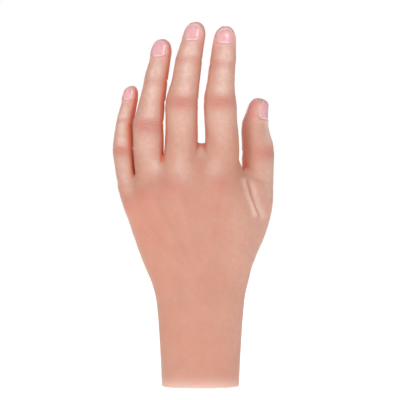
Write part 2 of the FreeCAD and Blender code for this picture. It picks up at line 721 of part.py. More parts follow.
def build_wrist(chassis):
    """Stud, washer, plate, nut, block and screws. Returns the block's blank and the bolts."""
    washer_top = v("wrist_washer_thick")
    plate_top = washer_top + v("plate_thick")

    length, chamfer = v("stud_length"), v("stud_chamfer")
    shank = cylinder("StudThread", "dims.stud_radius", "dims.stud_length - dims.stud_chamfer", at(0, 0, chamfer - length))
    point_end = doc.addObject("Part::Cone", "StudPoint")
    point_end.setExpression("Radius1", "dims.stud_radius - dims.stud_chamfer")
    point_end.setExpression("Radius2", "dims.stud_radius")
    point_end.setExpression("Height", "dims.stud_chamfer")
    point_end.Placement = at(0, 0, -length)
    shoulder = cylinder("StudShoulder", "dims.shoulder_radius", "dims.wrist_washer_thick", at(0, 0, 0))
    upper = cylinder(
        "StudUpper", "dims.upper_thread_radius", "dims.upper_thread_top - dims.wrist_washer_thick", at(0, 0, washer_top)
    )
    stud = keep(fuse("WristStud", [shank, point_end, shoulder, upper]), "wrist_stud")

    bore = "dims.shoulder_radius + 0.1"
    keep(ring("FrictionWasher", "dims.washer_radius", bore, "dims.wrist_washer_thick", at(0, 0, 0)), "friction_washer")

    outline = ellipse("plate_outline", "0", "0", "dims.wrist_washer_thick", "dims.plate_length", "dims.plate_depth")
    outline_top = ellipse(
        "plate_outline_top", "0", "0", "dims.wrist_washer_thick + dims.plate_thick", "dims.plate_length", "dims.plate_depth"
    )
    plate_blank = loft("plate_blank", [outline, outline_top], ruled=True)
    screw_places = [
        at(sx * v("screw_x"), sy * v("screw_y"), washer_top) for sx in (-1, 1) for sy in (-1, 1)
    ]
    screws = []
    for number, place in enumerate(screw_places):
        head = doc.addObject("Part::Cone", f"ScrewHead{number}")
        head.setExpression("Radius1", "dims.screw_head_radius")
        head.setExpression("Radius2", "dims.screw_radius")
        head.setExpression("Height", "dims.screw_head_depth")
        head.Placement = place
        stem = cylinder(f"ScrewStem{number}", "dims.screw_radius", "dims.screw_length", place)
        screws.append(fuse(f"PlateScrew{number}", [head, stem]))
    plate_screws = keep(fuse("PlateScrews", screws), "plate_screws")
    keep(cut("WristPlate", plate_blank, fuse("plate_tool", [stud, plate_screws])), "wrist_plate")

    # a thin hexagon nut on the stud's upper thread
    nut_blank = doc.addObject("Part::Prism", "NutBlank")
    nut_blank.Polygon = 6
    nut_blank.setExpression("Circumradius", "dims.nut_flats / 2 / cos(30)")
    nut_blank.setExpression("Height", "dims.nut_thick")
    nut_blank.Placement = at(0, 0, plate_top)
    keep(cut("StudLocknut", nut_blank, stud), "stud_locknut")

    # the block that joins the plate to the chassis, with a pocket for the nut
    bottom = ellipse("block_bottom", "0", "0", "dims.wrist_washer_thick + dims.plate_thick", "dims.block_length", "dims.block_depth")
    top_z = "dims.wrist_washer_thick + dims.plate_thick + dims.block_height"
    top = ellipse("block_top", "0", "0", top_z, "dims.block_length", "dims.block_depth")
    blank = loft("block_blank", [bottom, top], ruled=True)
    pocket = cylinder("NutPocket", "dims.block_pocket_radius", "dims.block_pocket_depth", at(0, 0, plate_top))
    bolts = []
    head = v("cross_bolt_head_thick")
    reach = v("block_depth") / 2 - 3.0
    for side in (-1, 1):
        x, z = side * v("cross_bolt_x") * 0.7, v("cross_bolt_z")
        place = at(x, reach, z) * ALONG_MINUS_Y
        stem = doc.addObject("Part::Cylinder", "CrossStem")
        stem.setExpression("Radius", "dims.cross_bolt_radius")
        stem.Height = 2 * reach
        stem.Placement = place
        parts = [stem]
        for start in (-head, 2 * reach):
            parts.append(
                cylinder("CrossHead", "dims.cross_bolt_head_radius", "dims.cross_bolt_head_thick", place * at(0, 0, start))
            )
        bolts.append(fuse("CrossBolt", parts))
    cross_bolts = keep(fuse("CrossBolts", bolts), "cross_bolts")
    tool = fuse("block_tool", [pocket, plate_screws, cross_bolts, chassis])
    keep(cut("WristBlock", blank, tool), "wrist_block")
    return blank, cross_bolts


# ---------------------------------------------------------------- the assembly


def group(name, members):
    """Separate solids under one node."""
    made = doc.addObject("Part::Compound", name)
    made.Links = members
    return made


def build():
    foam_blank = build_glove()
    pins, washers, plate_rivets, brackets = [], [], [], []
    for digit in DIGITS:
        cores = build_digit_covers(digit)
        build_armature(digit, cores, pins, washers)
        bracket, set_of = build_thumb_bracket() if digit == "thumb" else build_finger_bracket(digit)
        plate_rivets += set_of
        brackets.append((digit, bracket))
    keep(group("McpPins", pins), "mcp_pins")
    keep(group("McpWashers", washers), "mcp_washers")
    keep(group("ChassisRivets", plate_rivets), "chassis_rivets")

    rivet_tool = fuse("rivet_tool", plate_rivets)
    for digit, bracket in brackets:
        keep(cut(f"{digit}BracketDrilled", bracket, rivet_tool), f"{digit}_bracket")

    plate = chassis_plate()
    bolts_room = []
    for side in (-1, 1):
        place = at(side * v("cross_bolt_x") * 0.7, v("block_depth"), v("cross_bolt_z")) * ALONG_MINUS_Y
        bolts_room.append(cylinder("BoltRoom", "dims.cross_bolt_radius", "dims.block_depth * 2", place))
    drilled = cut("ChassisDrilled", plate, fuse("chassis_tool", plate_rivets + bolts_room))
    keep(drilled, "chassis_plate")

    block_blank, cross_bolts = build_wrist(drilled)

    # the foam fills the palm round everything that is fixed, with a pocket at each base hinge
    room = []
    narrow = mcp_gap_width() + 2 * v("ear_thick") + 2 * v("pin_head_thick") + 0.8
    for digit in DIGITS:
        frame = hinge_frame(digit)
        fork_depth = 2 * eye_of(digit) + 1.2
        fork_drop = 2.6 * eye_of(digit)
        inside = v(f"{digit}_base_w") - 2 * v("glove_wall")
        fork_width = narrow if inside - narrow > 4.0 else inside + 3.0
        pocket = doc.addObject("Part::Box", f"{digit}ForkRoom")
        pocket.Length, pocket.Width, pocket.Height = fork_width, fork_depth, fork_drop + 6
        pocket.Placement = frame * at(-fork_width / 2, -fork_depth / 2, -fork_drop)
        room.append(pocket)
    plate_top = v("wrist_washer_thick") + v("plate_thick")
    floor_room = box("floor_room", "120", "120", "30", at(-60, -60, plate_top - 30))
    foam = cut("FoamOverWrist", foam_blank, floor_room)
    for tool in room + [block_blank, plate]:
        foam = cut("FoamRoundArmature", foam, tool)
    for digit, bracket in brackets:
        foam = cut(f"FoamRound_{digit}", foam, bracket)
    foam = cut("FoamRoundRivets", foam, fuse("rivet_room", plate_rivets))
    keep(cut("PalmFoam", foam, cross_bolts), "palm_foam")


def check_and_write():
    doc.recompute()
    bad = [o.Label for o in doc.Objects if any(s in o.State for s in ("Invalid", "Error"))]
    if bad:
        raise RuntimeError(f"these objects failed: {bad}")
    os.makedirs("parts", exist_ok=True)
    for old in os.listdir("parts"):
        if old.endswith(".step"):
            os.remove(os.path.join("parts", old))
    for node, obj in sorted(kept.items()):
        shape = obj.Shape
        if shape.isNull() or not shape.isValid() or not shape.Solids:
            raise RuntimeError(f"{node} has no valid solid")
        shape = Part.Compound(shape.Solids) if len(shape.Solids) > 1 else shape.Solids[0]
        shape.exportStep(os.path.join("parts", f"{node}.step"))
        print(f"{node}: {len(obj.Shape.Solids)} solids, {obj.Shape.Volume:.1f} mm3")
    for digit in DIGITS:
        base, pip = hinge_frame(digit), pip_frame(digit)
        axis = base.Rotation.multVec(X_AXIS)
        print(digit, "mcp", tuple(base.Base), "pip", tuple(pip.Base), "axis", tuple(axis))


build()
check_and_write()
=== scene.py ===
import json
import math

import bpy
import numpy as np
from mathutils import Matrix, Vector


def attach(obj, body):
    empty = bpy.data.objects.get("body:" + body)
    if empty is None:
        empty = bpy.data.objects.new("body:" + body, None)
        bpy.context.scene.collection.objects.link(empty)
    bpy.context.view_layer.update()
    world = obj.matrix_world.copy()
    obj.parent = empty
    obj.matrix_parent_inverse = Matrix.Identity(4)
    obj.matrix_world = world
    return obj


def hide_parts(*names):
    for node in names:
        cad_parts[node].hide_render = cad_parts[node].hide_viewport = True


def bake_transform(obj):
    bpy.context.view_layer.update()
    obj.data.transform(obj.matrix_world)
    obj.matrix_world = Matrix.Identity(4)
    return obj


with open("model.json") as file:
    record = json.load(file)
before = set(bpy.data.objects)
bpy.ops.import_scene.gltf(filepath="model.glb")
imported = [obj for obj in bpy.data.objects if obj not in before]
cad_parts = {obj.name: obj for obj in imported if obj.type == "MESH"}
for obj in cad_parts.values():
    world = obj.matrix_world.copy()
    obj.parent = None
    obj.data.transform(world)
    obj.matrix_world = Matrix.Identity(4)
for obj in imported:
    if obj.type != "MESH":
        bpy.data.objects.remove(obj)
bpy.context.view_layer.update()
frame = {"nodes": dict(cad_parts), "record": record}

# The looks of a left cosmetic prosthetic hand. One silicone skin is modelled as an implicit
# surface in millimetres, meshed, detailed, and then divided where no hinge bends it.
MM = 0.001
CELL = 0.74  # mesh spacing, mm

DIGITS = ("index", "middle", "ring", "little", "thumb")

# Each digit: rows of height z, centre x, centre y, half-width, half-depth. A digit's own
# cross-section is turned about Z by its roll, which runs from the base value to the tip value.
TUBES = {
    "index": (
        (52, 5.5, 1.0, 9.5, 12.5),
        (66, 8.5, 0.2, 10.2, 12.6),
        (80, 12.0, 0.2, 11.0, 12.0),
        (95, 14.0, 1.2, 11.5, 11.0),
        (108, 14.2, 2.4, 11.1, 10.3),
        (119, 13.4, 3.6, 10.8, 9.9),
        (131, 13.0, 4.9, 10.8, 9.7),
        (137, 12.9, 6.0, 10.0, 9.2),
        (145, 13.6, 7.6, 9.2, 8.5),
        (153, 14.2, 9.2, 8.75, 8.0),
        (160, 15.1, 10.7, 8.5, 7.5),
        (167, 15.6, 12.2, 8.0, 6.9),
        (174, 16.2, 13.7, 7.5, 6.4),
    ),
    "middle": (
        (50, -9.0, 0.0, 9.5, 12.6),
        (64, -13.0, -0.8, 10.2, 13.2),
        (78, -15.0, -0.6, 11.0, 12.8),
        (92, -13.8, 0.8, 11.4, 11.4),
        (106, -12.6, 2.4, 10.9, 10.4),
        (119, -12.5, 3.8, 10.6, 9.9),
        (131, -12.3, 5.0, 10.7, 9.8),
        (138, -11.2, 6.2, 10.1, 9.2),
        (146, -9.6, 7.8, 9.4, 8.6),
        (153, -8.6, 9.2, 9.0, 8.1),
        (160, -7.6, 10.6, 8.8, 7.6),
        (168, -5.9, 12.2, 8.1, 7.0),
        (175, -4.2, 13.8, 7.5, 6.5),
    ),
    "ring": (
        (48, -20.0, 1.0, 9.0, 12.4),
        (60, -26.5, 0.6, 9.4, 12.4),
        (74, -32.0, 0.6, 9.8, 11.6),
        (87, -33.4, 2.0, 10.2, 10.4),
        (100, -34.2, 3.6, 10.2, 9.7),
        (110, -34.5, 5.0, 10.1, 9.2),
        (117, -34.6, 6.1, 10.1, 9.0),
        (123, -33.5, 7.3, 9.4, 8.7),
        (134, -31.5, 9.6, 8.4, 7.8),
        (142, -30.2, 11.2, 8.0, 7.3),
        (149, -29.1, 12.8, 7.8, 7.0),
        (156, -27.6, 14.4, 7.3, 6.4),
        (163, -26.3, 16.0, 6.9, 6.0),
    ),
    "little": (
        (44, -30.0, 3.0, 9.0, 12.0),
        (56, -38.5, 3.2, 8.6, 10.8),
        (68, -44.3, 3.8, 7.9, 9.4),
        (80, -48.2, 4.8, 7.1, 7.8),
        (90, -50.0, 7.0, 7.0, 7.0),
        (99, -51.2, 8.6, 7.0, 6.8),
        (107, -51.1, 10.2, 6.2, 6.3),
        (114, -50.6, 11.6, 5.7, 5.9),
        (121, -49.5, 13.0, 5.6, 5.6),
        (127, -48.1, 14.2, 5.4, 5.2),
        (133, -46.8, 15.4, 5.2, 4.9),
    ),
    "thumb": (
        (8, 14.0, 6.0, 10.0, 9.0),
        (20, 19.5, 7.6, 12.5, 11.0),
        (34, 25.5, 9.4, 14.2, 12.4),
        (48, 31.2, 10.8, 14.0, 12.2),
        (62, 35.8, 12.4, 12.2, 11.2),
        (76, 37.6, 14.4, 11.1, 10.1),
        (88, 38.2, 16.0, 10.7, 9.8),
        (98, 38.2, 17.6, 11.0, 10.0),
        (104, 37.9, 18.4, 10.7, 9.6),
        (112, 36.7, 19.6, 10.2, 8.8),
        (118, 36.3, 20.4, 9.8, 8.4),
        (124, 37.0, 21.0, 9.2, 7.7),
    ),
}
ROLLS = {"index": (0, 2), "middle": (0, -12), "ring": (-4, -22), "little": (-8, -34), "thumb": (50, 66)}
TIPS = {"index": 181.9, "middle": 184.7, "ring": 173.4, "little": 142.2, "thumb": 134.2}
# How far below the tip the back, the sides and the pad start to round off.
ROUNDING = {
    "index": (6.0, 10.5, 13.0),
    "middle": (6.0, 10.5, 13.5),
    "ring": (5.5, 9.5, 13.0),
    "little": (4.5, 7.0, 11.0),
    "thumb": (5.5, 12.0, 24.0),
}
# Heights of the middle and end joints, for folds and colour.
MIDDLE_JOINTS = {"index": 132.0, "middle": 131.5, "ring": 116.5, "little": 99.5, "thumb": 99.0}
END_JOINTS = {"index": 157.0, "middle": 160.0, "ring": 146.0, "little": 119.5, "thumb": None}
KNUCKLES = {"index": (12.0, 77.5), "middle": (-18.0, 74.5), "ring": (-36.0, 69.0), "little": (-46.5, 62.5)}
# Painted highlights on the back between the fingers: x, z, how wide.
WEB_HIGHLIGHTS = ((-12.5, 86.0, 7.0), (1.0, 99.0, 4.0), (-28.5, 88.0, 4.0), (9.0, 86.0, 5.0))
# Blush over the palm's pads: x, z, how wide, how strong.
PALM_BLUSH = (
    (28.0, 42.0, 16.0, 0.32),
    (-34.0, 36.0, 16.0, 0.28),
    (12.0, 84.0, 9.0, 0.25),
    (-12.0, 84.0, 9.0, 0.25),
    (-32.0, 76.0, 9.0, 0.25),
)
# The fold of skin from the web of the thumb down over the back.
THUMB_RIDGE = ((28.6, 79.0), (30.4, 72.0), (32.6, 65.0), (36.0, 57.0))

# The palm: height, left edge, right edge, back y, front y.
PALM = (
    (-72, -24.4, 24.4, -19.0, 19.0),
    (-57, -24.75, 24.75, -19.0, 19.0),
    (-29, -26.1, 26.1, -19.0, 19.0),
    (-10, -27.4, 27.4, -18.8, 18.6),
    (0, -28.4, 28.4, -18.4, 18.4),
    (13, -29.9, 30.8, -17.2, 17.4),
    (24, -33.4, 32.6, -16.2, 16.0),
    (36, -37.0, 33.2, -15.2, 14.4),
    (50, -41.8, 32.5, -14.4, 13.2),
    (62, -45.2, 31.4, -13.8, 12.8),
    (72, -46.4, 30.0, -13.0, 12.8),
    (80, -46.6, 28.8, -11.8, 12.8),
    (88, -46.6, 27.4, -9.6, 12.6),
    (96, -46.6, 26.0, -6.0, 12.2),
    (103, -46.6, 25.0, -1.0, 11.4),
    (109, -46.6, 24.0, 4.4, 9.0),
)
# How much lower the palm's top edge is, across the hand: x, drop.
WEB_DROPS = (
    (-70, 44),
    (-56, 35),
    (-50, 27),
    (-43.2, 21),
    (-33, 12),
    (-23.4, 7.5),
    (-12, 4.0),
    (0.8, 3.2),
    (14, 6),
    (24, 13),
    (34, 27),
    (50, 42),
)
# Where two neighbours stay apart: the two, from what height, and by how much.
GAPS = (
    ("index", "middle", 106, 1.15),
    ("middle", "ring", 97, 1.15),
    ("ring", "little", 84, 1.5),
    ("index", "thumb", 86.5, 1.15),
)
# The pad on the little finger's side of the palm, as rows like a digit's.
HYPOTHENAR = (
    (4, -15.0, 4.0, 10.0, 13.0),
    (18, -20.4, 5.2, 12.0, 13.2),
    (34, -27.2, 5.8, 12.0, 12.8),
    (50, -33.6, 5.4, 10.4, 11.2),
    (64, -39.6, 4.8, 8.0, 9.4),
    (74, -42.6, 4.6, 6.0, 7.0),
)
WRIST_BOTTOM = -57.0
WALL = 1.8  # of the silicone, in the cuff
CAVITY_TOP = 4.6
BURIED = 14.0  # how far a digit runs on inside the palm
FULL_LIFT = (56, 84)  # heights between which the web drops take hold
PALM_SOFTNESS = 9.0  # how broadly the palm's parts run into one another
OUT_OF_REACH = 1e9


# ---------------------------------------------------------------- interpolation and blends


def spline(rows, at):
    """Each column after the first, as a smooth curve over the first, held level past its ends."""
    table = np.array(rows, float)
    x, y = table[:, 0], table[:, 1:]
    slopes = np.empty_like(y)
    steps = (y[1:] - y[:-1]) / (x[1:] - x[:-1])[:, None]
    slopes[0], slopes[-1] = steps[0], steps[-1]
    gaps = (x[1:] - x[:-1])[:, None]
    slopes[1:-1] = (steps[:-1] * gaps[1:] + steps[1:] * gaps[:-1]) / (gaps[1:] + gaps[:-1])
    at = np.clip(at, x[0], x[-1])
    left = np.clip(np.searchsorted(x, at, side="right") - 1, 0, len(x) - 2)
    width = x[left + 1] - x[left]
    t = (at - x[left]) / width
    t2, t3 = t * t, t * t * t
    near, far = 2 * t3 - 3 * t2 + 1, -2 * t3 + 3 * t2
    out, into = (t3 - 2 * t2 + t) * width, (t3 - t2) * width
    return [
        near * y[left, c] + far * y[left + 1, c] + out * slopes[left, c] + into * slopes[left + 1, c]
        for c in range(y.shape[1])
    ]


def ramp(value, low, high):
    """0 below low, 1 above high, smooth between."""
    t = np.clip((value - low) / (high - low), 0, 1)
    return t * t * (3 - 2 * t)


def bell(value, width):
    return np.exp(-((value / width) ** 2))


def join(a, b, softness):
    """Smooth union of two distance fields."""
    h = np.clip(softness - np.abs(a - b), 0, None) / softness
    return np.minimum(a, b) - h * h * softness / 4


def carve(a, b, softness):
    """Smooth difference: a without b."""
    return -join(-a, b, softness)


# ---------------------------------------------------------------- the implicit hand


def digit_coordinates(digit, p):
    """Across u and towards the pad v, in units of the half sizes, then the section itself."""
    x, y, z = p
    rows = TUBES[digit]
    cx, cy, half_w, half_d = spline(rows, z)
    last, before = np.array(rows[-1], float), np.array(rows[-2], float)
    beyond = np.clip(z - last[0], 0, None)
    slope = (last - before) / (last[0] - before[0])
    cx = cx + beyond * slope[1] * 0.6
    cy = cy + beyond * slope[2] * 0.8
    first, second = rows[0], rows[1]
    below = np.clip(first[0] - z, 0, None)
    cx = cx - below * (second[1] - first[1]) / (second[0] - first[0])
    half_w = half_w - below * 0.22
    half_d = half_d - below * 0.22
    half_w, half_d = np.clip(half_w, 1.0, None), np.clip(half_d, 1.0, None)
    low, high = ROLLS[digit]
    roll = np.radians(low + (high - low) * ramp(z, MIDDLE_JOINTS[digit] - 12, TIPS[digit] - 14))
    across = (x - cx) * np.cos(roll) + (y - cy) * np.sin(roll)
    towards = -(x - cx) * np.sin(roll) + (y - cy) * np.cos(roll)
    return across / half_w, towards / half_d, (cx, cy, half_w, half_d, roll)


def digit_field(digit, p):
    u, v, (cx, cy, half_w, half_d, roll) = digit_coordinates(digit, p)
    x, y, z = p
    tip = TIPS[digit]
    # flatter sides than an ellipse, and a back that is a little flatter than the pad
    power = 2.25
    rho = (np.abs(u) ** power + np.abs(v) ** power + 1e-12) ** (1 / power)
    facing = v / (rho + 1e-6)
    to_back, to_side, to_pad = ROUNDING[digit]
    length = to_side + (to_pad - to_side) * ramp(facing, 0, 0.9)
    length += (to_back - to_side) * ramp(-facing, 0.1, 0.9)
    h = np.clip(z - (tip - length), 0, None) / length
    g = (rho**2.1 + h**2.1) ** (1 / 2.1)
    reach = np.sqrt((x - cx) ** 2 + (y - cy) ** 2 + (h * length) ** 2)
    radial = reach * (1 - 1 / (g + 1e-6))
    inside = np.where(g < 0.15, -0.85 * np.minimum(half_w, half_d), radial)
    return np.maximum(inside, TUBES[digit][0][0] - BURIED - z)


def section_field(x, y, left, right, back, front, power):
    cx, cy = (left + right) / 2, (back + front) / 2
    a, b = (right - left) / 2, (front - back) / 2
    u, v = (x - cx) / a, (y - cy) / b
    rho = (np.abs(u) ** power + np.abs(v) ** power + 1e-12) ** (1 / power)
    reach = np.sqrt((x - cx) ** 2 + (y - cy) ** 2)
    far = np.abs(rho - 1) * np.maximum(np.minimum(a, b), 9.0)
    slanted = reach * (1 - 1 / (rho + 1e-6))
    outline = np.sign(rho - 1) * np.minimum(np.abs(slanted), far * 1.6)
    return np.where(rho < 0.3, -0.7 * np.minimum(a, b), outline)


def palm_field(p):
    x, y, z = p
    drop = spline(WEB_DROPS, x)[0]
    lifted = z + drop * ramp(z, *FULL_LIFT)
    left, right, back, front = spline(PALM, lifted)
    plain_left, plain_right, _, _ = spline(PALM, z)
    power = 2.15 + 0.35 * ramp(z, 10, 60)
    body = section_field(x, y, plain_left, plain_right, back, front, power)
    top = (lifted - 106.0) * 0.9
    return -join(-body, -top, 4.0)


def tube_field(rows, p):
    x, y, z = p
    cx, cy, half_w, half_d = spline(rows, z)
    over = np.clip(z - rows[-1][0], 0, None) + np.clip(rows[0][0] - z, 0, None)
    u, v = (x - cx) / half_w, (y - cy) / half_d
    rho = np.sqrt(u * u + v * v + 1e-12)
    reach = np.sqrt((x - cx) ** 2 + (y - cy) ** 2 + over**2)
    radial = reach * (1 - 1 / (rho + over / half_w + 1e-6))
    return np.where(rho + over / half_w < 0.2, -0.8 * np.minimum(half_w, half_d), radial)


def cavity_field(p):
    """The hollow of the sleeve, up to the wrist plate."""
    x, y, z = p
    left, right, back, front = spline(PALM, np.minimum(z, 0))
    hollow = section_field(x, y, left + WALL, right - WALL, back + WALL, front - WALL, 2.15)
    return np.maximum(hollow, z - CAVITY_TOP)


WEB_SOFTNESS = {"index": 6.0, "middle": 6.0, "ring": 6.0, "little": 5.0, "thumb": 9.0}
WEB_HEIGHT = {"index": 103.0, "middle": 101.0, "ring": 97.0, "little": 86.0, "thumb": 96.0}


def hand_field(p):
    palm = join(palm_field(p), tube_field(HYPOTHENAR, p), PALM_SOFTNESS)
    digits = {digit: digit_field(digit, p) for digit in DIGITS}
    whole = palm
    for digit in DIGITS:
        # a tighter fillet close to the web than lower down
        tight = 1 - 0.65 * ramp(p[2], WEB_HEIGHT[digit] - 14, WEB_HEIGHT[digit] - 1)
        whole = join(whole, join(palm, digits[digit], WEB_SOFTNESS[digit] * tight), 1.2)
    for one, other, floor, gap in GAPS:
        wedge = (gap - np.abs(digits[one] - digits[other])) / 2
        whole = np.maximum(whole, wedge - np.clip(floor - p[2], 0, None) * 0.25)
    return whole


def skin_field(p):
    solid = hand_field(p)
    solid = carve(solid, cavity_field(p), 0.6)
    return -join(-solid, -(WRIST_BOTTOM - p[2]), 0.8)


def gradient(field, p, step=0.15):
    parts = []
    for axis in range(3):
        ahead = [c + (step if a == axis else 0) for a, c in enumerate(p)]
        behind = [c - (step if a == axis else 0) for a, c in enumerate(p)]
        parts.append((field(ahead) - field(behind)) / (2 * step))
    return np.stack(parts)


# ---------------------------------------------------------------- meshing


def surface_net(field, low, high, cell):
    """Vertices and quads of the zero surface on a regular grid: one vertex per crossed cell."""
    counts = [int(math.ceil((h - l) / cell)) + 1 for l, h in zip(low, high)]
    axes = [l + cell * np.arange(n) for l, n in zip(low, counts)]
    grid = np.empty(counts, np.float32)
    for k in range(counts[2]):  # one level at a time keeps memory small
        x, y = np.meshgrid(axes[0], axes[1], indexing="ij")
        grid[:, :, k] = field((x, y, np.full_like(x, axes[2][k])))
    inside = grid < 0
    corner = [(i, j, k) for i in (0, 1) for j in (0, 1) for k in (0, 1)]
    nx, ny, nz = (n - 1 for n in counts)
    count = np.zeros((nx, ny, nz), np.int8)
    for i, j, k in corner:
        count += inside[i : i + nx, j : j + ny, k : k + nz]
    mixed = (count > 0) & (count < 8)
    cells = np.argwhere(mixed)
    number = np.full((nx, ny, nz), -1, np.int64)
    number[mixed] = np.arange(len(cells))
    total, hits = np.zeros((len(cells), 3)), np.zeros(len(cells))
    for a in range(8):
        for b in range(a + 1, 8):
            ca, cb = np.array(corner[a]), np.array(corner[b])
            if np.abs(ca - cb).sum() != 1:
                continue
            fa = grid[tuple((cells + ca).T)]
            fb = grid[tuple((cells + cb).T)]
            crossed = (fa < 0) != (fb < 0)
            t = np.where(crossed, fa / np.where(crossed, fa - fb, 1), 0)
            total += np.where(crossed[:, None], ca + (cb - ca) * t[:, None], 0)
            hits += crossed
    places = np.array(low) + cell * (cells + total / hits[:, None])
    quads = []
    for axis in range(3):
        one, two = [a for a in range(3) if a != axis]
        ahead = [slice(None)] * 3
        behind = [slice(None)] * 3
        ahead[axis], behind[axis] = slice(1, None), slice(None, -1)
        first, second = inside[tuple(behind)], inside[tuple(ahead)]
        edges = np.argwhere(first != second)
        keep = (edges[:, one] > 0) & (edges[:, two] > 0)
        keep &= (edges[:, one] < counts[one] - 1) & (edges[:, two] < counts[two] - 1)
        edges = edges[keep]
        ring = []
        for da, db in ((-1, -1), (0, -1), (0, 0), (-1, 0)):
            at = edges.copy()
            at[:, one] += da
            at[:, two] += db
            ring.append(number[tuple(at.T)])
        made = np.stack(ring, 1)
        outward = first[tuple(edges.T)]
        flip = outward if axis != 1 else ~outward
        made[~flip] = made[~flip][:, ::-1]
        quads.append(made)
    return places, np.concatenate(quads)


def relax(places, quads, field, rounds):
    """Evens the mesh out along the surface and puts it back on the surface."""
    links = np.concatenate([quads[:, [0, 1]], quads[:, [1, 2]], quads[:, [2, 3]], quads[:, [3, 0]]])
    links = np.concatenate([links, links[:, ::-1]])
    degree = np.bincount(links[:, 0], minlength=len(places))[:, None]
    for _ in range(rounds):
        sums = [np.bincount(links[:, 0], places[links[:, 1], c], len(places)) for c in range(3)]
        places = places * 0.5 + np.stack(sums, 1) / degree * 0.5
        places = project(places, field)
    return places


def project(places, field):
    p = tuple(places.T)
    value, slope = field(p), gradient(field, p)
    size = np.sum(slope**2, axis=0)
    move = np.clip(value / np.clip(size, 0.2, None), -0.5, 0.5)
    return places - (slope * move).T


# ---------------------------------------------------------------- fine shape


def crease(line, x, z, width):
    """How near a point is to a drawn line in the x-z plane, 1 on it and 0 away from it."""
    points = np.array(line, float)
    best = np.full(x.shape, OUT_OF_REACH)
    for (ax, az), (bx, bz) in zip(points[:-1], points[1:]):
        dx, dz = bx - ax, bz - az
        t = np.clip(((x - ax) * dx + (z - az) * dz) / (dx * dx + dz * dz), 0, 1)
        best = np.minimum(best, np.hypot(x - ax - t * dx, z - az - t * dz))
    return bell(best, width)


def curve_through(points, steps=12):
    """Points along a smooth curve through a few, for creases and tendons."""
    rows = [(i,) + tuple(q) for i, q in enumerate(points)]
    at = np.linspace(0, len(points) - 1, steps * (len(points) - 1) + 1)
    return np.stack(spline(rows, at), 1)


def ridge_beside(right, up):
    """The thumb's ridge, moved a little sideways and along."""
    return curve_through([(x + right, z + up) for x, z in THUMB_RIDGE])


# Creases of the palm: points x and z, depth, width.
PALM_LINES = (
    (((-45, 62), (-34, 66), (-20, 72), (-8, 82), (-4, 92)), 0.7, 1.1),  # heart line
    (((27, 68), (14, 66), (0, 58), (-16, 50), (-28, 44)), 0.7, 1.1),  # head line
    (((26, 70), (14, 62), (6, 48), (3, 32), (6, 14)), 0.9, 1.3),  # life line
    (((-24, 3), (0, 5), (22, 4)), 0.5, 0.8),  # wrist
    (((-25, -5), (0, -3.5), (24, -4)), 0.35, 0.7),
)
TENDONS = (
    ((12.5, 82), (8.0, 50), (3.5, 18)),  # index
    ((-16.0, 80), (-8.5, 48), (0.0, 18)),  # middle
    ((-33.5, 74), (-19.5, 44), (-4.0, 18)),  # ring
    ((-45.5, 66), (-28.5, 40), (-8.0, 18)),  # little
)


# Folds over the back of a joint: how far from it, and how strong.
MIDDLE_FOLDS = ((-4.6, 0.10), (-3.1, 0.2), (-1.5, 0.3), (0.2, 0.34), (1.9, 0.26), (3.5, 0.14))
END_FOLDS = ((-1.7, 0.15), (0.0, 0.24), (1.6, 0.16))


def knuckle_folds(digit, u, v, z):
    """Skin folds over the back of a digit's joints, and the creases on its pad side."""
    back = ramp(-v, 0.0, 0.75)
    pad = ramp(v, -0.35, 0.35)
    depth = np.zeros_like(z)
    middle, end = MIDDLE_JOINTS[digit], END_JOINTS[digit]
    size = 0.72 if digit == "little" else 1.0
    for offset, strength in MIDDLE_FOLDS:
        bend = offset * size * (1 + 0.25 * u * u) + 0.5 * np.sin(u * 5 + offset)
        depth -= 1.25 * strength * back * bell(z - middle - bend, 0.62) * bell(u, 0.85)
    depth += 0.55 * size * back * bell(z - middle, 6.5 * size) * bell(u, 0.9)
    depth -= 0.65 * pad * bell(z - middle - 0.8 * np.sin(u * 2), 0.9)
    depth -= 0.35 * pad * bell(z - middle + 2.6, 0.8)
    if end is not None:
        for offset, strength in END_FOLDS:
            bend = offset * size + 0.35 * np.sin(u * 4 + offset)
            depth -= 1.2 * strength * back * bell(z - end - bend, 0.6) * bell(u, 0.8)
        depth -= 0.55 * pad * bell(z - end + 1.0, 0.9)
    return depth


NAIL_LENGTH = {"index": 11.0, "middle": 11.8, "ring": 11.0, "little": 8.4, "thumb": 13.5}
NAIL_SHARE = {"index": 0.76, "middle": 0.78, "ring": 0.78, "little": 0.8, "thumb": 0.8}
NAIL_END = 1.2  # the free edge is this far below the tip's top
NAIL_CURVE = 4.4  # how much lower the middle nail's free edge is at its sides than in its middle
NAIL_CORNER = 3.0  # rounding of the bed's corners


def nail_place(digit, u, v, z):
    """The nail's own coordinates: across -1..1 and along 0 (root) to 1 (free edge)."""
    top = TIPS[digit] - NAIL_END
    along = (z - (top - NAIL_LENGTH[digit])) / NAIL_LENGTH[digit]
    across = u / NAIL_SHARE[digit]
    return across, along


def nail_corner(digit, across):
    """How far below its middle the free edge is towards its sides."""
    return NAIL_CURVE * NAIL_LENGTH[digit] / NAIL_LENGTH["middle"] * np.abs(across) ** 1.9


def nail_bed(digit, u, v, z):
    """The bed's hollow under the nail and the fold of skin round it."""
    across, along = nail_place(digit, u, v, z)
    back = ramp(-v, 0.15, 0.45)
    half = NAIL_SHARE[digit] * TUBES[digit][-1][3]
    side = (np.abs(across) - 1) * half + NAIL_CORNER
    root = -along * NAIL_LENGTH[digit] + NAIL_CORNER
    round_corner = np.hypot(np.clip(side, 0, None), np.clip(root, 0, None))
    outside = np.minimum(np.maximum(side, root), 0) + round_corner - NAIL_CORNER
    short = nail_corner(digit, across) - (TIPS[digit] - NAIL_END - z)
    fold = bell(outside - 0.75, 0.75) * ramp(-short, -0.5, 2.5)
    bed = ramp(-outside, -0.1, 0.5) * ramp(-short, -0.1, 0.6)
    return back * (0.42 * fold - 0.38 * bed)


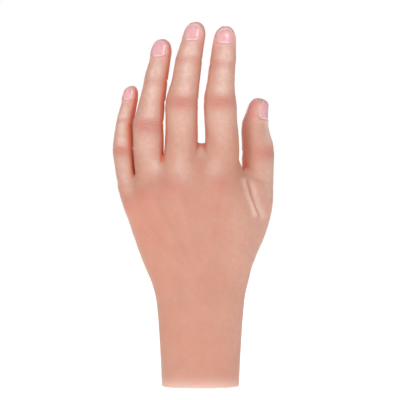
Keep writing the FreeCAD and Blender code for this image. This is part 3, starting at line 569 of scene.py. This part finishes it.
def fine_shape(p, normal):
    """How far each skin point moves out along its normal, in mm."""
    x, y, z = p
    nx, ny, nz = normal
    back = ramp(-ny, 0.1, 0.75)
    front = ramp(ny, 0.15, 0.7)
    move = np.zeros_like(x)
    for digit in DIGITS:
        u, v, _ = digit_coordinates(digit, p)
        near = ramp(1.45 - np.hypot(u, v), 0.0, 0.25)
        root = TUBES[digit][0][0]
        above = ramp(z, 84, 92) if digit == "thumb" else ramp(z, root + 30, root + 44)
        move += near * above * knuckle_folds(digit, u, v, z)
        tip = near * ramp(z, TIPS[digit] - 26, TIPS[digit] - 22)
        move += tip * nail_bed(digit, u, v, z)
    for digit, (kx, kz) in KNUCKLES.items():
        size = 7.0 if digit == "little" else 8.5
        move += 1.15 * back * bell(np.hypot(x - kx, (z - kz) * 0.9), size)
    for points in TENDONS:
        move += 0.55 * back * ramp(z, 14, 30) * crease(curve_through(points), x, z, 2.6)
    move += 0.9 * back * crease(ridge_beside(0, 0), x, z, 1.7)
    move -= 0.5 * back * crease(ridge_beside(2.7, -1), x, z, 1.1)
    for points, depth, width in PALM_LINES:
        move -= depth * front * crease(curve_through(points), x, z, width)
    # a slight unevenness, as hand-finished moulds have
    wave = np.sin(x * 0.31 + 1.3) * np.sin(z * 0.27 + 0.4) * np.sin(y * 0.33 + 2.0)
    wave += 0.5 * np.sin(x * 0.77 + z * 0.41) * np.sin(z * 0.63 - y * 0.5)
    return move + 0.12 * wave * ramp(z, -20, 20)


# ---------------------------------------------------------------- where each digit bends

CUFF_TOP = 0.0  # the skin is divided here into palm and cuff, as in the design
# How far off a digit's own surface the fillet at its root still goes into the digit's pieces.
OWN_REACH = {"index": 3.0, "middle": 3.0, "ring": 3.0, "little": 3.0, "thumb": 5.0}
# Start point, direction and length of each bend: the first at the digit's base hinge, the
# second at its middle one. A piece of the digit's skin begins where its own bend starts.
BENDS = {
    "index": (((14.2, 2, 101.2), (0.2, 0, 0.98), 12.0), ((13.0, 5, 123.0), (0, 0, 1), 18.0)),
    "middle": (((-12.6, 2, 102.2), (-0.12, 0, 0.993), 12.0), ((-12.4, 5, 122.5), (0, 0, 1), 18.0)),
    "ring": (((-33.9, 3, 95.8), (-0.35, 0, 0.937), 10.0), ((-34.0, 6, 109.0), (-0.2, 0, 0.98), 14.7)),
    "little": (((-49.5, 5, 83.0), (0, 0, 1), 9.4), ((-51.0, 8, 93.0), (0, 0, 1), 12.4)),
    "thumb": (((39.7, 15, 77.7), (0.62, 0, 0.785), 7.1), ((38.0, 17, 93.8), (0.3, 0, 0.954), 13.5)),
}


def along_bend(bend, points):
    start, direction, length = bend
    direction = np.array(direction) / np.linalg.norm(direction)
    return (points - np.array(start)) @ direction / length


def split_by_bend(places, quads):
    """Which piece each face is in: 0 the palm, then two for each digit, base and tip, last the cuff."""
    p = tuple(places.T)
    fields = np.stack([digit_field(digit, p) for digit in DIGITS])
    nearest = np.argmin(fields, axis=0)
    reach = np.array([OWN_REACH[digit] for digit in DIGITS])
    close = np.min(fields, axis=0) < reach[nearest]
    piece = np.zeros(len(quads), int)
    for number, digit in enumerate(DIGITS):
        own = ((nearest == number) & close)[quads].all(axis=1)
        for level, bend in enumerate(BENDS[digit]):
            past = (along_bend(bend, places) > 0)[quads].any(axis=1)
            piece[own & past] = 1 + 2 * number + level
    piece[(places[:, 2] < CUFF_TOP)[quads].all(axis=1)] = 1 + 2 * len(DIGITS)
    return piece


# ---------------------------------------------------------------- colour masks


def shade_masks(places, normals):
    """What the materials need at each point: redness over joints with painted shade in creases, painted
    shade in folds and between the digits, painted highlights, pinkness at the tips, and where the fine
    folds over the joints run."""
    p = tuple(places.T)
    x, y, z = p
    # painted shade: darker where the hand's own surface closes in, in creases, webs and between the digits
    painted_shade = np.zeros(len(places))
    for distance in (1.4, 3.4, 7.0):
        out = tuple((places + normals * distance).T)
        painted_shade += np.clip((distance - hand_field(out)) / distance, 0, 1) / 3
    painted_shade *= ramp(z, -40, 10) * (1 - ramp(x, 22, 29) * ramp(87 - z, 0, 9))
    back = ramp(-normals[:, 1], -0.1, 0.7)
    red, pink, painted_highlight = np.zeros(len(places)), np.zeros(len(places)), np.zeros(len(places))
    folds, fold_place = np.zeros(len(places)), np.zeros(len(places))
    for digit in DIGITS:
        u, v, _ = digit_coordinates(digit, p)
        size = 0.75 if digit == "little" else 1.0
        near = ramp(1.5 - np.hypot(u, v), 0.0, 0.3)
        over = near * ramp(-v, -0.2, 0.6)
        joints = [(MIDDLE_JOINTS[digit], 1.0)]
        if END_JOINTS[digit] is not None:
            joints.append((END_JOINTS[digit], 0.6))
        for joint, share in joints:
            at = z - joint + 1.6 * size * share
            red += 0.85 * over * bell(at, 5.6 * size * share) * share * bell(u, 1.25)
            own = over * bell(at, 5.6 * size * share) * bell(u, 1.0)
            fold_place = np.where(own > folds, (z - joint - 1.3 * u * u) / size, fold_place)
            folds = np.maximum(folds, own * (0.35 + 0.65 * share))
            # painted highlight on the back a little above each joint
            painted_highlight += 0.55 * over * bell(z - joint - 6.5 * size * share, 4.0 * size) * bell(u - 0.1, 0.5)
        middle = MIDDLE_JOINTS[digit]
        length = TIPS[digit] - middle
        # painted highlights along the backs of the digits, and the digits painted lighter than the back of
        # the hand
        painted_highlight += 0.8 * over * bell(z - middle - 0.45 * length, 0.3 * length) * bell(u - 0.12, 0.42)
        painted_highlight += 0.45 * over * bell(z - middle + 20, 15.0) * bell(u, 0.6)
        painted_highlight += 0.25 * over * ramp(z, middle - 24, middle - 8)
        pink += near * ramp(z, TIPS[digit] - 22 * size, TIPS[digit] - 6) * 0.85
    for kx, kz in KNUCKLES.values():
        red += back * 0.62 * bell(np.hypot(x - kx, z - kz), 6.5)
    # painted highlights on the back between the fingers
    for wx, wz, wide in WEB_HIGHLIGHTS:
        painted_highlight += back * 0.55 * bell(np.hypot(x - wx, (z - wz) * 0.7), wide)
    # painted highlights along the thumb's web fold and beside it
    painted_highlight += back * 0.8 * crease(ridge_beside(0, 0), x, z, 1.6)
    painted_highlight += back * 0.5 * crease(ridge_beside(5.5, -2), x, z, 2.2)
    # painted shade in the groove beside the thumb's fold
    red += back * 0.8 * crease(ridge_beside(2.6, -1), x, z, 0.7)
    front = ramp(normals[:, 1], 0.1, 0.7)
    # painted shade in the palm's creases
    for points, _, width in PALM_LINES:
        red += 0.55 * front * crease(curve_through(points), x, z, width * 1.3)
    for bx, bz, wide, share in PALM_BLUSH:
        red += share * front * bell(np.hypot(x - bx, z - bz), wide)
    for digit in DIGITS:
        u, v, _ = digit_coordinates(digit, p)
        pad = ramp(1.5 - np.hypot(u, v), 0.0, 0.3) * ramp(v, 0.1, 0.7)
        # painted shade in the pad creases at the middle joints
        red += 0.4 * pad * bell(z - MIDDLE_JOINTS[digit], 1.6)
        # painted light on the pads towards the tips
        painted_highlight += 0.2 * pad * ramp(z, MIDDLE_JOINTS[digit] - 20, MIDDLE_JOINTS[digit] - 8)
    # painted shade on the little finger's side of the back, and painted light on the thumb's side
    low = ramp(84 - z, 0, 30) * ramp(z, -56, -30)
    painted_shade = np.maximum(painted_shade, 0.18 * back * low * ramp(-x, -8, 36))
    painted_highlight += 0.22 * back * low * ramp(x, 6, 34)
    rim = bell(z - WRIST_BOTTOM, 5.0)
    tone_and_painted_light = [np.clip(m, 0, 1) for m in (red, painted_shade, painted_highlight, pink)]
    return tone_and_painted_light, np.stack([fold_place, folds, rim], 1)


# ---------------------------------------------------------------- building objects


def new_object(name, places, faces, smooth=True):
    mesh = bpy.data.meshes.new(name)
    mesh.from_pydata([tuple(q) for q in places * MM], [], [tuple(int(i) for i in f) for f in faces])
    mesh.update()
    if smooth:
        mesh.shade_smooth()
    obj = bpy.data.objects.new(name, mesh)
    bpy.context.scene.collection.objects.link(obj)
    return obj


def store(obj, name, values):
    """Keeps a number or a vector at each point, for the materials."""
    kind, field = ("FLOAT_VECTOR", "vector") if values.ndim == 2 else ("FLOAT", "value")
    attribute = obj.data.attributes.new(name, kind, "POINT")
    attribute.data.foreach_set(field, np.ascontiguousarray(values, np.float32).ravel())


def vertex_normals(places, quads):
    a, b = places[quads[:, 2]] - places[quads[:, 0]], places[quads[:, 3]] - places[quads[:, 1]]
    face = np.cross(a, b)
    corners = quads.ravel()
    sums = [np.bincount(corners, np.repeat(face[:, c], 4), len(places)) for c in range(3)]
    total = np.stack(sums, 1)
    return total / np.linalg.norm(total, axis=1)[:, None]


SKIN_LOW, SKIN_HIGH = (-61.0, -24.0, -60.0), (52.0, 33.0, 187.0)  # a box round the whole hand


def build_skin(material):
    """The whole skin as one mesh, and from it the pieces it is cut into at the bends."""
    places, quads = surface_net(skin_field, SKIN_LOW, SKIN_HIGH, CELL)
    places = relax(places, quads, skin_field, 3)
    slope = gradient(skin_field, tuple(places.T))
    normals = (slope / np.linalg.norm(slope, axis=0)).T
    rest = places.copy()
    piece = split_by_bend(places, quads)
    move = fine_shape(tuple(places.T), tuple(normals.T))
    places = places + normals * move[:, None]
    tone_and_painted_light, fold = shade_masks(rest, normals)
    tone_and_painted_light = np.stack(tone_and_painted_light, 1)
    smooth = vertex_normals(places, quads)
    if np.sum(smooth * normals) < 0:
        quads, smooth = quads[:, ::-1], -smooth
    names = ["skin_palm"]
    for digit in DIGITS:
        names += [f"{digit}_skin_base", f"{digit}_skin_tip"]
    names.append("skin_cuff")
    made = {}
    for number, name in enumerate(names):
        own = quads[piece == number]
        used, renumbered = np.unique(own, return_inverse=True)
        obj = new_object(name, places[used], renumbered.reshape(own.shape))
        store(obj, "rest", rest[used] * 0.1)
        # skin tone with painted shade and painted highlights, for the materials
        store(obj, "tone_and_painted_light", tone_and_painted_light[used, :3])
        store(obj, "pink", tone_and_painted_light[used, 3])
        store(obj, "fold", fold[used])
        obj.data.normals_split_custom_set_from_vertices([tuple(n) for n in smooth[used]])
        obj.data.materials.append(material)
        made[name] = obj
    return made


def nail_surface(digit, across, z):
    """Points of the digit's back at a share of its width, found by halving, and the way outwards."""
    flat = np.zeros_like(z)
    _, _, (cx, cy, half_w, half_d, roll) = digit_coordinates(digit, (flat, flat, z))
    u = across * NAIL_SHARE[digit] * half_w
    near, far = np.zeros_like(z), np.full_like(z, 1.4)
    for _ in range(24):
        v = -(near + far) / 2 * half_d
        x = cx + u * np.cos(roll) - v * np.sin(roll)
        y = cy + u * np.sin(roll) + v * np.cos(roll)
        inside = digit_field(digit, (x, y, z)) < 0
        near = np.where(inside, (near + far) / 2, near)
        far = np.where(inside, far, (near + far) / 2)
    out = gradient(lambda q: digit_field(digit, q), (x, y, z))
    out[2] *= 0.4
    out /= np.linalg.norm(out, axis=0)
    return np.stack([x, y, z], -1), np.moveaxis(out, 0, -1)


def build_nail(digit, material):
    """A curved plate set in the bed, closed all round, thinner towards its edges."""
    count_across, count_along = 29, 33
    shares = np.linspace(-1, 1, count_across), np.linspace(0, 1, count_along)
    across, along = np.meshgrid(*shares, indexing="ij")
    size = NAIL_LENGTH[digit] / NAIL_LENGTH["middle"]
    # a rounded root under the fold and a rounded free edge
    root = TIPS[digit] - NAIL_END - NAIL_LENGTH[digit] + (2.4 * np.abs(across) ** 3 - 0.4) * size
    end = TIPS[digit] - NAIL_END - nail_corner(digit, across)
    z = root + (end - root) * along
    places, out = nail_surface(digit, across, z)
    rim = np.clip(1 - np.abs(across) ** 6, 0, 1)
    lift = 0.28 * rim - 0.22 + 0.1 * ramp(along, 0.75, 1.0) - 0.3 * ramp(0.1 - along, 0.0, 0.1)
    thick = 0.42 * (0.35 + 0.65 * rim)
    top = places + out * lift[..., None]
    bottom = places + out * (lift - thick)[..., None]
    count = count_across * count_along
    faces = []
    for i in range(count_across - 1):
        for j in range(count_along - 1):
            a = i * count_along + j
            b, c, d = a + count_along, a + count_along + 1, a + 1
            faces += [(a, b, c, d), (a + count, d + count, c + count, b + count)]
    loop = [i * count_along for i in range(count_across)]
    loop += [(count_across - 1) * count_along + j for j in range(1, count_along)]
    loop += [i * count_along + count_along - 1 for i in range(count_across - 2, -1, -1)]
    loop += list(range(count_along - 2, 0, -1))
    for a, b in zip(loop, loop[1:] + loop[:1]):
        faces.append((b, a, a + count, b + count))
    both = np.concatenate([top.reshape(-1, 3), bottom.reshape(-1, 3)])
    obj = new_object(f"{digit}_nail_plate", both, faces)
    place = np.stack([across.ravel(), along.ravel(), np.zeros(count)], 1)
    store(obj, "nail", np.concatenate([place, place]))
    obj.data.materials.append(material)
    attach(obj, f"{digit}_distal")
    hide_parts(f"{digit}_nail")


CORE_CELL = 1.3  # mesh spacing of the foam, mm
CORE_DEPTH = 2.4  # how far the foam keeps inside the skin's surface
# The foam in each digit's first length: from and to, along the hand.
CORE_SPANS = {
    "index": (113.0, 125.0),
    "middle": (114.0, 125.0),
    "ring": (104.0, 111.0),
    "little": (90.0, 95.0),
    "thumb": (91.5, 96.5),
}


def build_core(name, field, low, high, body, node, material):
    """A foam filler that keeps inside the skin."""
    places, quads = surface_net(field, low, high, CORE_CELL)
    places = relax(places, quads, field, 2)
    normals = vertex_normals(places, quads)
    slope = gradient(field, tuple(places.T)).T
    if np.sum(slope * normals) < 0:
        quads = quads[:, ::-1]
    obj = new_object(name, places, quads)
    obj.data.materials.append(material)
    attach(obj, body)
    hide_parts(node)


def build_cores(material):
    """The palm's filler, and two for each digit that stop short of its hinges."""

    def palm_core(p):
        body = join(palm_field(p), tube_field(HYPOTHENAR, p), PALM_SOFTNESS)
        thumb_root = np.maximum(digit_field("thumb", p), p[2] - 62)
        body = join(body, thumb_root, PALM_SOFTNESS) + CORE_DEPTH
        drop = spline(WEB_DROPS, p[0])[0]
        ceiling = p[2] + drop * ramp(p[2], *FULL_LIFT) - 90
        return np.maximum(np.maximum(body, ceiling), 7 - p[2])

    build_core("palm_foam_core", palm_core, (-58, -20, 4), (50, 26, 96), "hand", "palm_foam", material)
    for digit in DIGITS:
        start, _, length = BENDS[digit][1]
        spans = {"proximal": CORE_SPANS[digit], "distal": (start[2] + length, TIPS[digit])}
        for level, (bottom, top) in spans.items():

            def core(p):
                body = digit_field(digit, p) + CORE_DEPTH
                return np.maximum(np.maximum(body, bottom - p[2]), p[2] - top)

            rows = spline(TUBES[digit], np.array([bottom, top]))
            cx, cy = rows[0], rows[1]
            low = (cx.min() - 14, cy.min() - 14, bottom - 3)
            high = (cx.max() + 14, cy.max() + 14, top + 3)
            node = f"{digit}_{level}_foam"
            build_core(f"{node}_core", core, low, high, f"{digit}_{level}", node, material)


# ---------------------------------------------------------------- materials


class Graph:
    """A small helper for shader nodes."""

    def __init__(self, name):
        self.material = bpy.data.materials.new(name)
        self.material.use_nodes = True
        self.tree = self.material.node_tree
        self.surface = self.tree.nodes["Principled BSDF"]

    def node(self, kind, inputs=None, **settings):
        made = self.tree.nodes.new(kind)
        for key, value in settings.items():
            setattr(made, key, value)
        for key, value in (inputs or {}).items():
            self.put(made.inputs[key], value)
        return made

    def put(self, socket, value):
        if isinstance(value, bpy.types.NodeSocket):
            self.tree.links.new(value, socket)
        else:
            socket.default_value = value

    def mix(self, factor, a, b):
        made = self.node("ShaderNodeMix", data_type="RGBA")
        self.put(made.inputs[0], factor)
        self.put(made.inputs[6], a)
        self.put(made.inputs[7], b)
        return made.outputs[2]

    def math(self, operation, a, b=0.0):
        made = self.node("ShaderNodeMath", operation=operation)
        self.put(made.inputs[0], a)
        self.put(made.inputs[1], b)
        return made.outputs[0]

    def spread(self, value, low, high, to_low=0.0, to_high=1.0):
        limits = {"From Min": low, "From Max": high, "To Min": to_low, "To Max": to_high}
        sockets = {"Value": value, **limits}
        return self.node("ShaderNodeMapRange", sockets, interpolation_type="SMOOTHSTEP").outputs[0]

    def noise(self, vector, scale, detail=3.0, rough=0.5):
        sockets = {"Vector": vector, "Scale": scale, "Detail": detail, "Roughness": rough}
        return self.node("ShaderNodeTexNoise", sockets).outputs["Fac"]


def linear(red, green, blue):
    """A colour from display values of 0 to 255."""
    values = [c / 255 for c in (red, green, blue)]
    return tuple(c / 12.92 if c <= 0.04045 else ((c + 0.055) / 1.055) ** 2.4 for c in values) + (1.0,)


SKIN = linear(211, 154, 131)
SKIN_WARM = linear(206, 143, 121)
# the red of knuckles and pads, also used for painted shade in creases and for speckles
SKIN_RED = linear(205, 117, 106)
# the colour of the painted shade in creases, folds and between the digits
SKIN_PAINTED_SHADE = linear(224, 120, 86)
# pale skin: the colour of the painted highlights, of the cuff's cut edge and of the speckles
SKIN_PALE = linear(247, 220, 209)
SKIN_PINK = linear(236, 164, 158)
NAIL_PINK = linear(234, 170, 172)
NAIL_PALE = linear(247, 222, 218)


def skin_material():
    g = Graph("silicone_skin")
    rest = g.node("ShaderNodeAttribute", attribute_name="rest").outputs["Vector"]
    tone_and_painted_light = g.node("ShaderNodeAttribute", attribute_name="tone_and_painted_light").outputs["Vector"]
    pink = g.node("ShaderNodeAttribute", attribute_name="pink").outputs["Fac"]
    fold = g.node("ShaderNodeAttribute", attribute_name="fold").outputs["Vector"]
    parts = g.node("ShaderNodeSeparateXYZ", {"Vector": tone_and_painted_light})
    red, painted_shade, painted_highlight = (parts.outputs[i] for i in range(3))
    parts = g.node("ShaderNodeSeparateXYZ", {"Vector": fold})
    fold_place, folds, rim = (parts.outputs[i] for i in range(3))
    cloudy = g.noise(rest, 0.55, 4.0, 0.6)
    blotch = g.noise(rest, 3.2, 3.0, 0.6)
    fine = g.noise(rest, 22.0, 2.0, 0.6)
    colour = g.mix(g.spread(cloudy, 0.3, 0.75, 0.0, 0.75), SKIN, SKIN_WARM)
    colour = g.mix(g.math("MULTIPLY", pink, 0.8), colour, SKIN_PINK)
    # painted highlights on the digits' backs, the webs and the thumb's fold
    colour = g.mix(g.math("MULTIPLY", painted_highlight, g.spread(blotch, 0.2, 0.8, 0.45, 0.8)), colour, SKIN_PALE)
    # redness over the knuckles and palm pads, with painted shade in the creases
    colour = g.mix(g.math("MULTIPLY", red, g.spread(blotch, 0.2, 0.75, 0.4, 0.8)), colour, SKIN_RED)
    # painted shade in the creases and between the digits
    colour = g.mix(g.spread(painted_shade, 0.05, 0.6, 0.0, 0.8), colour, SKIN_PAINTED_SHADE)
    colour = g.mix(g.math("MULTIPLY", rim, 0.6), colour, SKIN_PALE)
    speckle = g.math("MULTIPLY", g.math("SUBTRACT", g.math("ADD", fine, blotch), 1.0), 0.3)
    tint = g.mix(g.spread(fine, 0.35, 0.65), SKIN_RED, SKIN_PALE)
    colour = g.mix(g.math("ABSOLUTE", speckle), colour, tint)
    # fine folds across the backs of the joints, with painted shade along their lines
    wander = g.math("MULTIPLY", g.noise(rest, 1.6, 3.0, 0.6), 5.5)
    wave = g.math("COSINE", g.math("MULTIPLY", g.math("ADD", fold_place, wander), 3.6))
    lines = g.math("MULTIPLY", g.spread(wave, 0.25, 1.0), folds)
    lines = g.math("MULTIPLY", lines, g.spread(g.noise(rest, 2.4, 2.0), 0.38, 0.62, 0.15, 1.0))
    colour = g.mix(g.math("MULTIPLY", lines, 0.42), colour, SKIN_PAINTED_SHADE)
    s = g.surface
    g.put(s.inputs["Base Color"], colour)
    g.put(s.inputs["Roughness"], g.spread(fine, 0.2, 0.8, 0.40, 0.54))
    s.inputs["Subsurface Weight"].default_value = 0.45
    s.inputs["Subsurface Radius"].default_value = (1.0, 0.36, 0.2)
    s.inputs["Subsurface Scale"].default_value = 0.003
    s.inputs["Specular IOR Level"].default_value = 0.5
    voronoi = g.node("ShaderNodeTexVoronoi", {"Vector": rest, "Scale": 11.0}, feature="DISTANCE_TO_EDGE")
    height = g.math("MULTIPLY", g.spread(voronoi.outputs["Distance"], 0.0, 0.16), 0.6)
    height = g.math("ADD", height, g.math("MULTIPLY", fine, 0.8))
    height = g.math("ADD", height, g.math("MULTIPLY", blotch, 1.0))
    height = g.math("SUBTRACT", height, g.math("MULTIPLY", lines, 2.2))
    bump = g.node("ShaderNodeBump", {"Height": height, "Strength": 0.5, "Distance": 0.0003})
    g.put(s.inputs["Normal"], bump.outputs[0])
    return g.material


def nail_material():
    g = Graph("nail_gloss")
    place = g.node("ShaderNodeAttribute", attribute_name="nail").outputs["Vector"]
    parts = g.node("ShaderNodeSeparateXYZ", {"Vector": place})
    across, along = parts.outputs[0], parts.outputs[1]
    square = g.math("MULTIPLY", across, across)
    edge = g.spread(along, 0.90, 0.97)
    moon = g.spread(g.math("ADD", along, g.math("MULTIPLY", square, 0.3)), 0.24, 0.1)
    cloud = g.noise(place, 2.2, 2.0)
    colour = g.mix(g.spread(cloud, 0.35, 0.7, 0.0, 0.3), NAIL_PINK, NAIL_PALE)
    colour = g.mix(g.math("MULTIPLY", moon, 0.45), colour, NAIL_PALE)
    colour = g.mix(g.math("MULTIPLY", edge, 0.55), colour, NAIL_PALE)
    s = g.surface
    g.put(s.inputs["Base Color"], colour)
    s.inputs["Roughness"].default_value = 0.24
    s.inputs["Coat Weight"].default_value = 0.4
    s.inputs["Coat Roughness"].default_value = 0.12
    s.inputs["Subsurface Weight"].default_value = 0.1
    s.inputs["Subsurface Scale"].default_value = 0.001
    waves = {"Vector": place, "Scale": 6.0, "Distortion": 0.6}
    ridges = g.node("ShaderNodeTexWave", waves, bands_direction="X").outputs["Fac"]
    bump = g.node("ShaderNodeBump", {"Height": ridges, "Strength": 0.06, "Distance": 0.0001})
    g.put(s.inputs["Normal"], bump.outputs[0])
    return g.material


def plain_material(name, colour, roughness, metallic, grain, scale):
    g = Graph(name)
    position = g.node("ShaderNodeTexCoord").outputs["Object"]
    grit = g.noise(position, scale, 3.0)
    darker = tuple(c * 0.72 for c in colour[:3]) + (1.0,)
    specks = g.spread(grit, 0.3, 0.7, 0.0, 0.25)
    rough = g.spread(grit, 0.3, 0.7, roughness - 0.06, roughness + 0.08)
    g.put(g.surface.inputs["Base Color"], g.mix(specks, colour, darker))
    g.put(g.surface.inputs["Roughness"], rough)
    g.surface.inputs["Metallic"].default_value = metallic
    if grain:
        bump = g.node("ShaderNodeBump", {"Height": grit, "Strength": grain, "Distance": 0.0002})
        g.put(g.surface.inputs["Normal"], bump.outputs[0])
    return g.material


# For each slot of the record: name, colour, roughness, metallic, bump and the grain's fineness.
PLAIN_LOOKS = {
    "foam": ("foam_cream", linear(226, 212, 180), 0.85, 0.0, 0.5, 900.0),
    "aluminium": ("aluminium_brushed", linear(205, 207, 210), 0.34, 1.0, 0.08, 1500.0),
    "steel": ("steel_turned", linear(190, 190, 193), 0.26, 1.0, 0.05, 2000.0),
    "block_plastic": ("plastic_dark", linear(52, 52, 56), 0.5, 0.0, 0.15, 800.0),
    "washer_rubber": ("rubber_black", linear(34, 34, 36), 0.7, 0.0, 0.25, 1200.0),
    "washer_nylon": ("nylon_white", linear(226, 224, 214), 0.45, 0.0, 0.1, 1200.0),
    "silicone": ("silicone_plain", SKIN, 0.5, 0.0, 0.0, 300.0),
    "nail": ("nail_plain", NAIL_PINK, 0.2, 0.0, 0.0, 300.0),
}


def paint_frame():
    """Materials for the CAD pieces, by the record's slots."""
    looks = {
        slot: plain_material(name, colour, roughness, metallic, grain, scale)
        for slot, (name, colour, roughness, metallic, grain, scale) in PLAIN_LOOKS.items()
    }
    for part in frame["record"]["subparts"]:
        mesh = frame["nodes"][part["node"]].data
        mesh.materials.clear()
        mesh.materials.append(looks[part["material_slot"]])
    return looks


# ---------------------------------------------------------------- stage


WHITE = (1.0, 1.0, 1.0, 1.0)
WORLD_LIGHT = 0.31
FLOOR_REACH = 6000  # mm
AIM = (0, 0, 0.07)  # the middle of the hand, in metres like all that follows
LIGHTS = {
    "key": ((0.45, -1.5, 0.75), 0.8, 9),
    "fill": ((-1.0, -1.2, 0.3), 0.8, 5),
    "top": ((0.0, 0.1, 1.5), 1.0, 4),
    "back_key": ((-0.4, 1.5, 0.6), 1.0, 7),
}
CAMERA_DISTANCE, VIEW_WIDTH = 1.6, 0.264
CAMERA_X, CAMERA_Z = -0.0003, 0.066
SENSOR_WIDTH = 36.0  # mm


def area_light(name, place, size, watts):
    data = bpy.data.lights.new(name, "AREA")
    data.shape, data.size, data.energy = "DISK", size, watts
    obj = bpy.data.objects.new(name, data)
    obj.location = place
    obj.rotation_euler = (Vector(AIM) - Vector(place)).to_track_quat("-Z", "Y").to_euler()
    bpy.context.scene.collection.objects.link(obj)


def build_floor():
    around = 96
    angles = np.linspace(0, 2 * np.pi, around, endpoint=False)
    height = np.full(around, WRIST_BOTTOM)
    rim = np.stack([FLOOR_REACH * np.cos(angles), FLOOR_REACH * np.sin(angles), height], 1)
    floor = new_object("floor", rim, [tuple(range(around))], smooth=False)
    g = Graph("floor_white")
    g.surface.inputs["Base Color"].default_value = (0.5, 0.5, 0.5, 1.0)
    g.surface.inputs["Roughness"].default_value = 0.9
    g.surface.inputs["Emission Color"].default_value = WHITE
    g.surface.inputs["Emission Strength"].default_value = 0.86
    floor.data.materials.append(g.material)


def build_world():
    """A dim white surrounding that is fully white where the camera sees it."""
    world = bpy.data.worlds.new("studio")
    world.use_nodes = True
    tree = world.node_tree
    soft = tree.nodes["Background"]
    seen = tree.nodes.new("ShaderNodeBackground")
    for background, strength in ((soft, WORLD_LIGHT), (seen, 1.0)):
        background.inputs["Color"].default_value = WHITE
        background.inputs["Strength"].default_value = strength
    path, mixed = tree.nodes.new("ShaderNodeLightPath"), tree.nodes.new("ShaderNodeMixShader")
    tree.links.new(path.outputs["Is Camera Ray"], mixed.inputs[0])
    tree.links.new(soft.outputs[0], mixed.inputs[1])
    tree.links.new(seen.outputs[0], mixed.inputs[2])
    tree.links.new(mixed.outputs[0], tree.nodes["World Output"].inputs[0])
    bpy.context.scene.world = world


def build_camera():
    """Square on to the back of the hand."""
    data = bpy.data.cameras.new("camera")
    camera = bpy.data.objects.new("camera", data)
    data.sensor_width = SENSOR_WIDTH
    data.lens = SENSOR_WIDTH * CAMERA_DISTANCE / VIEW_WIDTH
    camera.location = (CAMERA_X, -CAMERA_DISTANCE, CAMERA_Z)
    camera.rotation_euler = (math.radians(90), 0, 0)
    bpy.context.scene.collection.objects.link(camera)
    bpy.context.scene.camera = camera
    bpy.context.scene.view_settings.view_transform = "Standard"


# ---------------------------------------------------------------- the scene

looks = paint_frame()
skin = skin_material()
pieces = build_skin(skin)
for part in ("palm", "cuff"):
    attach(pieces[f"skin_{part}"], "hand")
    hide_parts(f"glove_{part}")
nail = nail_material()
for digit in DIGITS:
    base, tip = pieces[f"{digit}_skin_base"], pieces[f"{digit}_skin_tip"]
    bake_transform(base)
    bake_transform(tip)
    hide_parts(f"{digit}_glove_proximal")
    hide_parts(f"{digit}_glove_distal")
    build_nail(digit, nail)
build_cores(looks["foam"])
build_floor()
build_world()
for name, (place, size, watts) in LIGHTS.items():
    area_light(name, place, size, watts)
build_camera()
